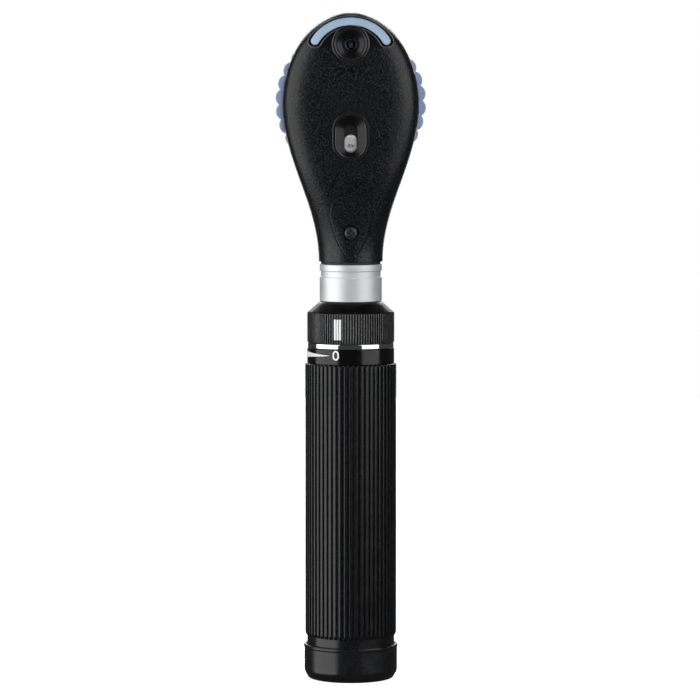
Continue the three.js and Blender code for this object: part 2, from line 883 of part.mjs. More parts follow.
function lampContact() {
  const foot = pinTip + fitGap;
  return turned([
    [0, foot],
    [3, foot],
    [3, foot + 1],
    [1, foot + 1],
    [1, foot + 6.5],
    [0, foot + 6.5],
  ], 16);
}

function lampBulb() {
  return turned([
    [0, lampBaseTop + fitGap],
    [2.2, lampBaseTop + fitGap],
    [2.4, 151.5],
    [2.4, 154.5],
    [1.6, 156],
    [0, 156.5],
  ], 18, 0, beamPlane);
}

// A shelf across the neck that carries the condenser and the aperture wheel's axle.
function chassis() {
  const slab = block([-farOut, -farOut, chassisBottom], [farOut, farOut, chassisTop]);
  const shelf = slab.intersect(headForm(headWall + fitGap, headBottom - 1, 24));
  const beam = rod(3.3, chassisBottom - 1, chassisTop + 1, 20, 0, beamPlane);
  const pivot = rod(1.2, chassisBottom - 1, chassisTop + 1, 12, 0, apertureCentre);
  return shelf.subtract(beam).subtract(pivot);
}

function lens(radius, bottom, top) {
  const middle = (bottom + top) / 2;
  const halfEdge = 0.3;
  return turned([
    [0, bottom],
    [radius * 0.6, bottom + 0.3],
    [radius, middle - halfEdge],
    [radius, middle + halfEdge],
    [radius * 0.6, top - 0.3],
    [0, top],
  ], 18, 0, beamPlane);
}

// A turret of stops and filters that cross the beam one at a time.
function apertureWheel() {
  const stops = [1.6, 1.3, 1, 0.7, 1.6, 1.6];
  const reach = apertureCentre - beamPlane;
  const scallops = 24;
  const corners = [[-0.25, 0], [0.25, 0], [0.5, 0.4]];
  const rim = [];
  for (let notch = 0; notch < scallops; notch++) {
    for (const [across, depth] of corners) {
      const angle = ((notch + across) * turn) / scallops;
      rim.push(polar(apertureRadius - depth, angle, 0, apertureCentre));
    }
  }
  const shape = new THREE.Shape(rim);
  shape.holes.push(new THREE.Path(circle(0, apertureCentre, apertureAxle + 0.3, 14)));
  stops.forEach((radius, stop) => {
    const angle = front + (stop * turn) / stops.length;
    const { x, y } = polar(reach, angle, 0, apertureCentre);
    shape.holes.push(new THREE.Path(circle(x, y, radius, 8)));
  });
  return upright(shape, apertureBottom, apertureTop);
}

const axleTop = apertureTop + 0.6;

function opticsTube() {
  return turned([
    [2.6, tubeBottom],
    [3.6, tubeBottom],
    [3.6, tubeTop],
    [3.1, tubeTop],
    [3.1, tubeBottom + 1],
    [2.6, tubeBottom + 1],
  ], 20, 0, beamPlane);
}

place('lamp_holder', lampHolder(), innerPlastic);
place('lamp_contact', lampContact(), brass);
place('lamp_base', rod(lampBaseRadius, lampSeat, lampBaseTop, 20, 0, beamPlane), brass);
place('lamp_bulb', lampBulb(), glass);
place('optics_chassis', chassis(), innerPlastic);
place('condenser_lens', lens(3, chassisBottom - 0.2, chassisTop + 0.3), glass);
place('aperture_wheel', apertureWheel(), innerPlastic);
place('aperture_axle', rod(apertureAxle, chassisBottom, axleTop, 14, 0, apertureCentre), steel);
place('optics_tube', opticsTube(), innerPlastic);
place('objective_lens', lens(2.8, tubeBottom + 1.4, tubeBottom + 3.4), glass);

// ---- head: examiner's side ----------------------------------------------------------------

// The eyepiece tube stands in the rear shell, and a soft ring round it rests on the brow.
function rearEyepiece() {
  return turnedFacing([
    [sightHole, 7],
    [eyepieceRadius, 7],
    [eyepieceRadius, 11.4],
    [5.4, 12],
    [5.4, 12.8],
    [4.6, 13.2],
    [sightHole + 0.3, 11.2],
    [sightHole, 11],
  ], 0, sightHeight, 28);
}

function browRest() {
  const [bore, radius] = [5.8, 8.2];
  const ring = turnedFacing([
    [bore, 6],
    [radius, 6],
    [radius, 13.4],
    [radius - 0.8, 14.4],
    [bore + 0.8, 14.4],
    [bore, 13.4],
  ], 0, sightHeight, 28);
  return ring.subtract(headForm(-fitGap));
}

function dioptreWindow() {
  return turnedFacing([
    [0, 10],
    [dioptreRadius, 10],
    [dioptreRadius, 11.6],
    [1.6, 12.1],
    [0, 12.2],
  ], 0, wheelCentre - lensCircle, 20);
}

function shellScrew(side) {
  return turnedFacing([
    [0, -3.6],
    [screwRadius, -3.6],
    [screwRadius, screwSeat + 0.2],
    [bossRadius - 0.4, screwSeat + 0.2],
    [bossRadius - 0.4, screwSeat + 1.3],
    [0, screwSeat + 1.3],
  ], side * bossReach, bossHeight, 14);
}

place('rear_eyepiece', rearEyepiece(), glossBlack);
place('brow_rest', browRest(), rubber);
place('dioptre_window', dioptreWindow(), glass);
for (const [name, side] of screwSides) {
  place(`shell_screw_${name}`, shellScrew(side), steel);
}

export default ophthalmoscope;
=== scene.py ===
# Hand-held ophthalmoscope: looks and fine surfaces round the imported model
import math
import bmesh
import bpy
import numpy as np
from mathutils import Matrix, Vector


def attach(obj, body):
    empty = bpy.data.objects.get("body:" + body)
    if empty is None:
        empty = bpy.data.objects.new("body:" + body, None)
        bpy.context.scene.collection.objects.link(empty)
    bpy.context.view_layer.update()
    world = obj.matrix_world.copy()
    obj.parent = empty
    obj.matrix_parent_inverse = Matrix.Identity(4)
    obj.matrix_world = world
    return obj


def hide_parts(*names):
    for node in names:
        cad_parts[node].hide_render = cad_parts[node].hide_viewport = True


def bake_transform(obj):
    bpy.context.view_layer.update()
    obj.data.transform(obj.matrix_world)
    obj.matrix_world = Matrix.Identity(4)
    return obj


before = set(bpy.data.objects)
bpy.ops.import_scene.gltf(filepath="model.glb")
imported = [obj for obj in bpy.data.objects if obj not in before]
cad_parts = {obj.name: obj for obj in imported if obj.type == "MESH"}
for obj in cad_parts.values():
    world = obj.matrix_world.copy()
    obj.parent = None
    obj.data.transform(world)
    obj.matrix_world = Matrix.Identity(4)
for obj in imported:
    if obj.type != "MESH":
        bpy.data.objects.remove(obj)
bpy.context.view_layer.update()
mm = 0.001
print("packed model loaded:", len(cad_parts), "pieces")


# Camera, light and floor

studio = {
    "cameraX": -0.25,        # mm, the handle's axis sits a touch right of centre
    "cameraDistance": 1170,
    "cameraHeight": 191.4,
    "cameraPitch": 4.06,     # degrees, looking down
    "lens": 183.5,
    "lightsAimAt": 0.12,     # metres above the floor
    "airLight": 0.05,
    "floorGlow": 0.75,
    "floorRadius": 1100,
    "backdropRadius": 8000,
}


def makeCamera():
    camData = bpy.data.cameras.new("camera")
    camData.lens = studio["lens"]
    camData.sensor_width = 36
    camData.clip_end = 50
    cam = bpy.data.objects.new("camera", camData)
    bpy.context.scene.collection.objects.link(cam)
    cam.location = (studio["cameraX"] * mm, -studio["cameraDistance"] * mm, studio["cameraHeight"] * mm)
    cam.rotation_euler = (math.radians(90 - studio["cameraPitch"]), 0, 0)
    bpy.context.scene.camera = cam


# Each softbox: degrees round from the front (right is positive), height, distance and size in metres, watts
softboxes = {
    "keyLeft": (-69, 0.32, 1.1, (1.6, 1.5), 14.5),
    "fillRight": (55, 0.56, 1.2, (1.3, 1.3), 9),
    "rimBehind": (180, 1.05, 1.1, (1.2, 1.1), 14),
    "backFill": (180, 0.35, 1.2, (0.7, 0.9), 3),
    "frontFill": (4, 0.3, 1.3, (0.3, 0.3), 11),
}


def softbox(name, azimuth, height, distance, size, power):
    lightData = bpy.data.lights.new(name, "AREA")
    lightData.shape = "RECTANGLE"
    lightData.size, lightData.size_y = size
    lightData.energy = power
    lamp = bpy.data.objects.new(name, lightData)
    bpy.context.scene.collection.objects.link(lamp)
    a = math.radians(azimuth)
    lamp.location = (distance * math.sin(a), -distance * math.cos(a), height)
    aim = Vector((0, 0, studio["lightsAimAt"])) - lamp.location
    lamp.rotation_euler = aim.to_track_quat("-Z", "Y").to_euler()
    return lamp


def makeStudio():
    for name, values in softboxes.items():
        lamp = softbox(name, *values)
        lamp.visible_glossy = name != "frontFill"      # the front fill only lifts the matt surfaces
    world = bpy.data.worlds.new("studioAir")
    bpy.context.scene.world = world
    world.use_nodes = True
    world.node_tree.nodes["Background"].inputs["Color"].default_value = (1, 1, 1, 1)
    world.node_tree.nodes["Background"].inputs["Strength"].default_value = studio["airLight"]
    bpy.context.scene.view_settings.view_transform = "Standard"


makeCamera()
makeStudio()
print("camera and lights set")


# Materials
# Grain is sized in millimetres. Every piece sits at the origin, so object coordinates are real places.

def newMaterial(name, colour, roughness, metallic=0.0, slot=None):
    mat = bpy.data.materials.new(name)
    mat.use_nodes = True
    shader = mat.node_tree.nodes["Principled BSDF"]
    shader.inputs["Base Color"].default_value = (*colour, 1)
    shader.inputs["Roughness"].default_value = roughness
    shader.inputs["Metallic"].default_value = metallic
    mat["slot"] = slot or name
    mat.diffuse_color = (*colour, 1)
    return mat


def shaderOf(mat):
    return mat.node_tree.nodes["Principled BSDF"]


def addNode(mat, kind, **values):
    node = mat.node_tree.nodes.new(kind)
    for key, value in values.items():
        setattr(node, key, value)
    return node


def noiseAt(mat, sizeMm, detail=2.0, stretch=(1, 1, 1), distortion=0.0):
    # noise whose features are about sizeMm across, stretched along the axes by stretch
    tree = mat.node_tree
    coords = addNode(mat, "ShaderNodeTexCoord")
    mapping = addNode(mat, "ShaderNodeMapping")
    mapping.inputs["Scale"].default_value = [1 / s for s in stretch]
    noise = addNode(mat, "ShaderNodeTexNoise")
    noise.inputs["Scale"].default_value = 1 / (sizeMm * mm)
    noise.inputs["Detail"].default_value = detail
    noise.inputs["Distortion"].default_value = distortion
    tree.links.new(coords.outputs["Object"], mapping.inputs["Vector"])
    tree.links.new(mapping.outputs["Vector"], noise.inputs["Vector"])
    return noise.outputs["Fac"]


def spread(mat, source, low, high, fromLow=0.3, fromHigh=0.7):
    # a grey texture as a number between low and high
    node = addNode(mat, "ShaderNodeMapRange")
    node.inputs["From Min"].default_value = fromLow
    node.inputs["From Max"].default_value = fromHigh
    node.inputs["To Min"].default_value = low
    node.inputs["To Max"].default_value = high
    mat.node_tree.links.new(source, node.inputs["Value"])
    return node.outputs["Result"]


def varyRoughness(mat, source, low, high):
    mat.node_tree.links.new(spread(mat, source, low, high), shaderOf(mat).inputs["Roughness"])


def varyColour(mat, source, dark, light, fromLow=0.35, fromHigh=0.65):
    ramp = addNode(mat, "ShaderNodeValToRGB")
    ramp.color_ramp.elements[0].position = fromLow
    ramp.color_ramp.elements[0].color = (*dark, 1)
    ramp.color_ramp.elements[1].position = fromHigh
    ramp.color_ramp.elements[1].color = (*light, 1)
    mat.node_tree.links.new(source, ramp.inputs["Fac"])
    mat.node_tree.links.new(ramp.outputs["Color"], shaderOf(mat).inputs["Base Color"])


def addBump(mat, source, heightMm, strength=1.0, under=None):
    bump = addNode(mat, "ShaderNodeBump")
    bump.inputs["Strength"].default_value = strength
    bump.inputs["Distance"].default_value = heightMm * mm
    mat.node_tree.links.new(source, bump.inputs["Height"])
    if under is not None:
        mat.node_tree.links.new(under, bump.inputs["Normal"])
    mat.node_tree.links.new(bump.outputs["Normal"], shaderOf(mat).inputs["Normal"])
    return bump.outputs["Normal"]


def grainedPlastic(name, colour, roughness, grainMm, grainHeight, slot, speckle=1.8, specular=0.5):
    # moulded grain grainMm across, whose tops are speckle times as pale as the plain colour
    mat = newMaterial(name, colour, roughness, slot=slot)
    fine = noiseAt(mat, grainMm, 3)
    broad = noiseAt(mat, 7.0, 3)
    varyColour(mat, fine, [c * 0.3 for c in colour], [c * speckle for c in colour], 0.4, 0.64)
    varyRoughness(mat, broad, roughness - 0.05, roughness + 0.06)
    shaderOf(mat).inputs["Specular IOR Level"].default_value = specular
    addBump(mat, fine, grainHeight)
    return mat


def smoothPlastic(name, colour, roughness, slot, specular=0.5):
    # moulded plastic with a faint orange peel and a few handling smears
    mat = newMaterial(name, colour, roughness, slot=slot)
    peel = noiseAt(mat, 1.1, 2)
    smear = noiseAt(mat, 5.0, 4, (1, 1, 2.5), 0.4)
    varyRoughness(mat, smear, max(0.03, roughness - 0.04), roughness + 0.05)
    varyColour(mat, smear, [c * 0.93 for c in colour], [min(1, c * 1.05) for c in colour])
    shaderOf(mat).inputs["Specular IOR Level"].default_value = specular
    addBump(mat, peel, 0.004)
    return mat


def turnedMetal(name, colour, roughness, slot, lineMm=0.12, lineHeight=0.0015, metallic=1.0):
    # fine turning lines run round the piece, so the noise is long across the axis and short along it
    mat = newMaterial(name, colour, roughness, metallic, slot)
    lines = noiseAt(mat, lineMm, 2, (60, 60, 1))
    handled = noiseAt(mat, 4.0, 3)
    varyRoughness(mat, handled, roughness - 0.04, roughness + 0.05)
    varyColour(mat, handled, [c * 0.95 for c in colour], colour)
    addBump(mat, lines, lineHeight)
    return mat


def plainMetal(name, colour, roughness, slot):
    mat = newMaterial(name, colour, roughness, 1.0, slot)
    cloudy = noiseAt(mat, 1.6, 4)
    varyRoughness(mat, cloudy, roughness - 0.08, roughness + 0.1)
    varyColour(mat, cloudy, [c * 0.85 for c in colour], colour)
    addBump(mat, noiseAt(mat, 0.15, 2), 0.002)
    return mat


def clearGlass(name, colour, slot):
    mat = newMaterial(name, colour, 0.02, slot=slot)
    shaderOf(mat).inputs["Transmission Weight"].default_value = 1
    shaderOf(mat).inputs["IOR"].default_value = 1.52
    addBump(mat, noiseAt(mat, 3.0, 1), 0.0008)
    return mat


finish = {
    "shell": grainedPlastic(
        "shellPlastic", (0.0028, 0.003, 0.0035), 0.2, 0.5, 0.13, "shell_black", 4.4, 0.38),
    # painted shade: a darker finish for recesses, the brow pocket and the bezels' throats
    "pocket": smoothPlastic("recessPaintedShade", (0.003, 0.003, 0.0035), 0.3, "shell_black", 0.35),
    "grip": grainedPlastic("gripCoating", (0.004, 0.0043, 0.005), 0.23, 0.4, 0.012, "grip_black"),
    "cap": grainedPlastic("capPlastic", (0.0055, 0.0058, 0.0066), 0.24, 0.35, 0.009, "cap_black"),
    "gloss": smoothPlastic("polishedBlack", (0.0015, 0.0015, 0.0018), 0.16, "gloss_black", 0.48),
    # painted highlight: the bezels' rims are paler than the polished black, so their edges read as bright
    # lines
    "rim": smoothPlastic("rimPaintedHighlight", (0.012, 0.012, 0.0125), 0.15, "gloss_black", 1.0),
    "knurl": grainedPlastic(
        "ringAnodising", (0.0012, 0.0012, 0.0014), 0.2, 0.25, 0.004, "knurl_black", 1.8, 0.3),
    # painted highlight: a pale finish on the flute crests, where light would catch them
    "crest": grainedPlastic("crestPaintedHighlight", (0.085, 0.087, 0.09), 0.25, 0.25, 0.004, "knurl_black", 1.5),
    "pad": grainedPlastic("thumbPad", (0.021, 0.0215, 0.0225), 0.3, 0.6, 0.006, "knurl_black", 2.2),
    "blackSteel": grainedPlastic("blackedSteel", (0.02, 0.02, 0.021), 0.25, 0.3, 0.006, "knurl_black"),
    "chrome": turnedMetal("chromePlate", (0.78, 0.79, 0.80), 0.09, "chrome", 0.1, 0.0004),
    "silver": turnedMetal("satinSilver", (0.74, 0.75, 0.76), 0.46, "satin_silver", metallic=0.62),
    "steel": plainMetal("springSteel", (0.56, 0.57, 0.58), 0.32, "spring_steel"),
    "brass": plainMetal("contactBrass", (0.62, 0.46, 0.20), 0.3, "contact_brass"),
    "inner": grainedPlastic("innerPlastic", (0.02, 0.02, 0.022), 0.55, 0.25, 0.006, "inner_plastic"),
    "board": grainedPlastic("trackBoard", (0.10, 0.06, 0.03), 0.6, 0.3, 0.004, "track_board"),
    "strip": smoothPlastic("stripBlue", (0.275, 0.38, 0.51), 0.42, "strip_blue"),
    # painted highlight: the channel's raised bead is paler than the shell, so it reads as a bright line
    "lip": smoothPlastic("lipPaintedHighlight", (0.045, 0.045, 0.047), 0.25, "shell_black", 0.9),
    "wheel": smoothPlastic("wheelBlue", (0.21, 0.27, 0.42), 0.38, "wheel_blue"),
    "glass": clearGlass("opticalGlass", (0.95, 0.98, 0.98), "clear_glass"),
    # painted shade: a dark tint in the wheel's clear lenses, for the darkness seen through the sight hole
    "lensShade": clearGlass("lensPaintedShade", (0.015, 0.016, 0.02), "clear_glass"),
    "rubber": grainedPlastic("browRubber", (0.014, 0.014, 0.015), 0.75, 0.35, 0.012, "brow_rubber"),
    "jacket": smoothPlastic("cellJacket", (0.05, 0.16, 0.07), 0.3, "cell_jacket"),
    "print": smoothPlastic("whitePrint", (0.80, 0.81, 0.82), 0.5, "strip_blue"),
}


def mirrorPaintedReflection():
    # pale silvering painted as a pale matt colour, a painted reflection, with a painted reflection of the
    # lamp's coil as a small dark curl at the middle
    mat = newMaterial("mirrorReflectionPaint", (0.92, 0.93, 0.94), 0.3, 0.1, "mirror_glass")
    tree = mat.node_tree
    coords = addNode(mat, "ShaderNodeTexCoord")
    away = addNode(mat, "ShaderNodeVectorMath", operation="DISTANCE")
    away.inputs[1].default_value = (0, -2.4 * mm, 175.4 * mm)
    tree.links.new(coords.outputs["Object"], away.inputs[0])
    wobble = noiseAt(mat, 0.7, 3, distortion=1.0)
    blend = addNode(mat, "ShaderNodeMath", operation="MULTIPLY_ADD")
    blend.inputs[1].default_value = 1.2 * mm
    tree.links.new(wobble, blend.inputs[0])
    tree.links.new(away.outputs["Value"], blend.inputs[2])
    ramp = addNode(mat, "ShaderNodeValToRGB")
    stops = ramp.color_ramp.elements
    for place, grey in ((0.0, 0.75), (1.0, 0.95)):
        stops[int(place)].position = place
        stops[int(place)].color = (grey, grey, grey * 1.02, 1)
    for place, grey in ((0.36, 0.75), (0.42, 0.10), (0.5, 0.10), (0.57, 0.85)):
        stops.new(place).color = (grey, grey, grey * 1.02, 1)
    tree.links.new(spread(mat, blend.outputs["Value"], 0, 1, 0, 2.6 * mm), ramp.inputs["Fac"])
    tree.links.new(ramp.outputs["Color"], shaderOf(mat).inputs["Base Color"])
    varyRoughness(mat, wobble, 0.18, 0.34)
    addBump(mat, noiseAt(mat, 1.2, 2), 0.02)
    return mat


finish["mirror"] = mirrorPaintedReflection()
print("materials made:", len(finish))


# Mesh helpers: all lengths in millimetres

def addObject(name, meshData):
    obj = bpy.data.objects.new(name, meshData)
    bpy.context.scene.collection.objects.link(obj)
    return obj


def shadeSoft(obj, angle=32):
    obj.data.polygons.foreach_set("use_smooth", [True] * len(obj.data.polygons))
    obj.data.set_sharp_from_angle(angle=math.radians(angle))


def skin(name, loops, wrap=False, capStart=True, capEnd=True):
    # a surface through loops of equally many points, closed into a ring or capped at its ends
    loops = [np.asarray(loop, float) for loop in loops]
    count = len(loops[0])
    bm = bmesh.new()
    rows = [[bm.verts.new(p * mm) for p in loop] for loop in loops]
    pairs = list(zip(rows, rows[1:])) + ([(rows[-1], rows[0])] if wrap else [])
    for lower, upper in pairs:
        for i in range(count):
            j = (i + 1) % count
            bm.faces.new((lower[i], lower[j], upper[j], upper[i]))
    if not wrap and capStart:
        bm.faces.new(reversed(rows[0]))
    if not wrap and capEnd:
        bm.faces.new(rows[-1])
    bmesh.ops.remove_doubles(bm, verts=bm.verts, dist=1e-4 * mm)
    bmesh.ops.delete(bm, geom=[edge for edge in bm.edges if not edge.link_faces], context="EDGES")
    bmesh.ops.recalc_face_normals(bm, faces=bm.faces)
    meshData = bpy.data.meshes.new(name)
    bm.to_mesh(meshData)
    bm.free()
    obj = addObject(name, meshData)
    shadeSoft(obj)
    return obj


def filleted(corners, closed=True, steps=5, hold=0.05):
    # a profile with rounded corners: each corner is (a, b) or (a, b, radius); hold keeps the flats flat
    points = []
    count = len(corners)
    for i, corner in enumerate(corners):
        here = np.array(corner[:2], float)
        radius = corner[2] if len(corner) > 2 else 0
        if radius == 0 or (not closed and i in (0, count - 1)):
            points.append(here)
            continue
        before = np.array(corners[i - 1][:2], float) - here
        after = np.array(corners[(i + 1) % count][:2], float) - here
        roomBefore, roomAfter = np.linalg.norm(before), np.linalg.norm(after)
        before, after = before / roomBefore, after / roomAfter
        half = math.acos(np.clip(before @ after, -1, 1)) / 2
        reach = min(radius / math.tan(half), 0.48 * roomBefore, 0.48 * roomAfter)
        radius = reach * math.tan(half)
        middle = here + (before + after) / np.linalg.norm(before + after) * radius / math.sin(half)
        start, end = here + before * reach, here + after * reach
        if roomBefore > 2.2 * (reach + hold):
            points.append(start + before * hold)
        a0 = math.atan2(*(start - middle)[::-1])
        a1 = math.atan2(*(end - middle)[::-1])
        sweep = (a1 - a0 + math.pi) % (2 * math.pi) - math.pi
        for k in range(steps + 1):
            a = a0 + sweep * k / steps
            points.append(middle + radius * np.array([math.cos(a), math.sin(a)]))
        if roomAfter > 2.2 * (reach + hold):
            points.append(end + after * hold)
    return np.array(points)


def ring(radius, height, angles):
    return np.column_stack([radius * np.cos(angles), radius * np.sin(angles), np.full(len(angles), height)])


def facingRing(radius, y, angles, centre):
    return np.column_stack([
        centre[0] + radius * np.cos(angles), np.full(len(angles), y), centre[1] + radius * np.sin(angles)])


def roundAngles(count):
    return np.linspace(0, 2 * math.pi, count, endpoint=False)


def turned(name, corners, segments=128, at=(0, 0), steps=5):
    # turned about an upright axis, from (radius, height, fillet) corners
    angles = roundAngles(segments)
    loops = [ring(max(r, 0), z, angles) + [*at, 0] for r, z in filleted(corners, True, steps)]
    return skin(name, loops, wrap=True)


def turnedFacing(name, corners, centre, segments=96, steps=5):
    # turned about an axis that runs front to back, from (radius, y, fillet) corners
    angles = roundAngles(segments)
    loops = [facingRing(max(r, 0), y, angles, centre) for r, y in filleted(corners, True, steps)]
    return skin(name, loops, wrap=True)


def prism(outline, near, far):
    # an outline in x and z, drawn front to back
    outline = np.asarray(outline, float)
    loops = [np.column_stack([outline[:, 0], np.full(len(outline), y), outline[:, 1]]) for y in (near, far)]
    return skin("cutter", loops)


def facingRod(radius, near, far, centre, segments=64):
    angles = roundAngles(segments)
    return skin("cutter", [facingRing(radius, y, angles, centre) for y in (near, far)])


def boolean(obj, tool, operation):
    step = obj.modifiers.new("cut", "BOOLEAN")
    step.operation = operation
    step.solver = "MANIFOLD"
    step.object = tool
    bpy.context.view_layer.update()
    graph = bpy.context.evaluated_depsgraph_get()
    fresh = bpy.data.meshes.new_from_object(obj.evaluated_get(graph))
    obj.modifiers.clear()
    obj.data = fresh
    bpy.data.objects.remove(tool)


def subtract(obj, *tools):
    for tool in tools:
        boolean(obj, tool, "DIFFERENCE")


def crossCut(obj, centre, reach, halfWidth, near, far):
    # a cross recess, from two crossed blades
    for halfX, halfZ in ((reach, halfWidth), (halfWidth, reach)):
        blade = np.array([(-halfX, -halfZ), (halfX, -halfZ), (halfX, halfZ), (-halfX, halfZ)]) + centre
        subtract(obj, prism(blade, near, far))
    shadeSoft(obj)


def dress(obj, material, body, *nodes):
    # give a piece its finish, its body, and the nodes it stands for
    mat = finish[material]
    if not any(obj.data.materials):
        obj.data.materials.clear()
        obj.data.materials.append(mat)
    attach(obj, body)
    if nodes:
        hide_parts(*nodes)
    return obj


def arc(centre, radius, start, end, count):
    a = np.radians(np.linspace(start, end, count))
    return np.column_stack([centre[0] + radius * np.cos(a), centre[1] + radius * np.sin(a)])


# Handle: ribbed tube

grip = {
    "radius": 15.0, "root": 14.35, "bottom": 14.2, "top": 104.2, "ribs": 54,
    "foot": 2.8, "footRadius": 14.35, "bore": 13.2, "shoulder": 103.2,
    "neckRadius": 12.8, "neckBore": 11.5, "neckTop": 110.4,
    "bevelBottom": 1.3, "bevelTop": 0.5,
}


def ribHeight(across):
    # across runs from -0.5 to 0.5 over one rib: a flat crest, round shoulders and a narrow groove
    t = np.clip((np.abs(across) - 0.24) / 0.18, 0, 1)
    return 1 - t * t * (3 - 2 * t)


def makeGrip():
    g = grip
    columns = np.array([-0.5, -0.43, -0.39, -0.36, -0.33, -0.30, -0.27, -0.22, 0,
                        0.22, 0.27, 0.30, 0.33, 0.36, 0.39, 0.43])
    across = np.tile(columns, g["ribs"])
    angles = (np.repeat(np.arange(g["ribs"]), len(columns)) + across) * 2 * math.pi / g["ribs"] - math.pi / 2
    relief = (g["radius"] - g["root"]) * ribHeight(across)
    loops = [ring(g["bore"], g["foot"], angles), ring(g["footRadius"] - 0.2, g["foot"], angles),
             ring(g["footRadius"], g["foot"] + 0.2, angles),
             ring(g["footRadius"], g["bottom"] - 0.05, angles)]
    for share in (0, 0.04, 0.12, 0.3, 0.55, 0.8, 0.94, 1.0):
        rise = math.sin(share * math.pi / 2)
        loops.append(ring(g["root"] + relief * rise, g["bottom"] + g["bevelBottom"] * share ** 1.6, angles))
    for height in np.linspace(g["bottom"] + 3, g["top"] - 2, 8):
        loops.append(ring(g["root"] + relief, height, angles))
    for share in (1.0, 0.94, 0.8, 0.5, 0.2, 0):
        rise = math.sin(share * math.pi / 2)
        loops.append(ring(g["root"] + relief * rise, g["top"] - g["bevelTop"] * share, angles))
    for radius, height in ((g["neckRadius"], g["top"]), (g["neckRadius"], g["neckTop"]),
                           (g["neckBore"], g["neckTop"]), (g["neckBore"], g["shoulder"]),
                           (g["bore"], g["shoulder"])):
        loops.append(ring(radius, height, angles))
    return dress(skin("ribbed_grip", loops, wrap=True), "grip", "handle", "grip_tube")


makeGrip()
print("grip made")


# Handle: base cap, cells and rings

cap = {"radius": 15.3, "lip": 15.47, "height": 11.4, "floor": 1.5, "foot": 13.9, "bore": 14.65}


def makeCap():
    c = cap
    corners = [(0, 0), (c["foot"], 0, 1.2), (c["radius"], 2.4, 3.0), (c["radius"], c["height"] - 1.2, 0.25),
               (c["lip"], c["height"] - 0.85, 0.2), (c["lip"], c["height"], 0.3),
               (c["bore"], c["height"], 0.12),
               (c["bore"], c["floor"], 0.4), (0, c["floor"])]
    return dress(turned("screw_cap", corners, 144), "cap", "cap", "base_cap")


rings = {
    "bore": 13.1,
    "scaleRadius": 14.35, "scaleBottom": 104.3, "scaleTop": 109.25,
    "chromeRadius": 14.2, "chromeBottom": 109.32, "chromeTop": 111.02,
}


def makeRings():
    r = rings
    scale = [(r["bore"], r["scaleBottom"]), (r["scaleRadius"], r["scaleBottom"], 0.18),
             (r["scaleRadius"], r["scaleTop"], 0.18), (r["bore"], r["scaleTop"])]
    dress(turned("gloss_scale_ring", scale, 160), "gloss", "handle", "scale_ring")
    bright = [(r["bore"], r["chromeBottom"]), (r["chromeRadius"], r["chromeBottom"], 0.25),
              (r["chromeRadius"], r["chromeTop"], 0.25), (r["bore"], r["chromeTop"])]
    dress(turned("bright_ring", bright, 160), "chrome", "handle", "chrome_ring")


makeCap()
makeRings()


# Printed marks stand 0.02 mm proud of the ring, like ink.
marks = {
    "ink": 0.02,
    "zeroAt": -20, "zeroHeight": 107.45, "zeroSize": (2.2, 3.15), "zeroStroke": 0.5,
    "wedgeTip": -29, "wedgeWide": -90, "wedgeEnd": -190, "wedgeMiddle": 107.3, "wedgeWidth": 2.2,
}


def onCylinder(radius, azimuth, height):
    # azimuth in degrees from the front, positive to the right
    a = math.radians(azimuth)
    return (radius * math.sin(a), -radius * math.cos(a), height)


def makeZero():
    m = marks
    radius = rings["scaleRadius"]
    perDegree = math.radians(1) * radius
    loops = []
    for inset, lift in ((0, -0.05), (0, m["ink"]), (m["zeroStroke"], m["ink"]), (m["zeroStroke"], -0.05)):
        loop = []
        for a in roundAngles(48):
            u = (m["zeroSize"][0] / 2 - inset) * math.copysign(abs(math.cos(a)) ** 0.85, math.cos(a))
            v = (m["zeroSize"][1] / 2 - inset) * math.copysign(abs(math.sin(a)) ** 0.85, math.sin(a))
            loop.append(onCylinder(radius + lift, m["zeroAt"] + u / perDegree, m["zeroHeight"] + v))
        loops.append(loop)
    dress(skin("zero_mark", loops, wrap=True), "print", "handle")


def makeWedge():
    m = marks
    radius = rings["scaleRadius"]
    growth = (m["wedgeWidth"] / 2) / (m["wedgeTip"] - m["wedgeWide"])
    loops = []
    for azimuth in np.linspace(m["wedgeTip"], m["wedgeEnd"], 60):
        half = min(0.04 + growth * (m["wedgeTip"] - azimuth), m["wedgeWidth"] / 2)
        corners = ((m["ink"], -half), (m["ink"], half), (-0.05, half), (-0.05, -half))
        loops.append([onCylinder(radius + lift, azimuth, m["wedgeMiddle"] + rise) for lift, rise in corners])
    dress(skin("brightness_wedge", loops), "print", "handle")


makeZero()
makeWedge()
print("cap and rings made")


# Handle: brightness ring

dimmer = {
    "radius": 14.33, "depth": 0.34, "bottom": 111.1, "edge": 120.9, "top": 124.45, "topRadius": 10.3,
    "mouth": 8.3, "bore": 13.1, "flutes": 101, "patch": 27, "perFlute": 10,
    "markAt": -18, "markBars": 3, "markSize": (0.66, 6.7), "markMiddle": 115.85,
}


def fluteRadius(angles):
    # angles from the front; the flutes cover the front and the back, and fade out at the thumb pads
    d = dimmer
    pitch = 2 * math.pi / d["flutes"]
    turnFraction = angles / pitch
    wave = np.abs(np.cos(math.pi * turnFraction))      # round crests and sharp valleys
    half = d["patch"] * pitch / 2
    fromMiddle = np.abs((angles + math.pi / 2) % math.pi - math.pi / 2)
    inside = np.clip((half - fromMiddle) / (0.6 * pitch), 0, 1)
    return d["radius"] - d["depth"] * (1 - wave ** 0.8) * inside


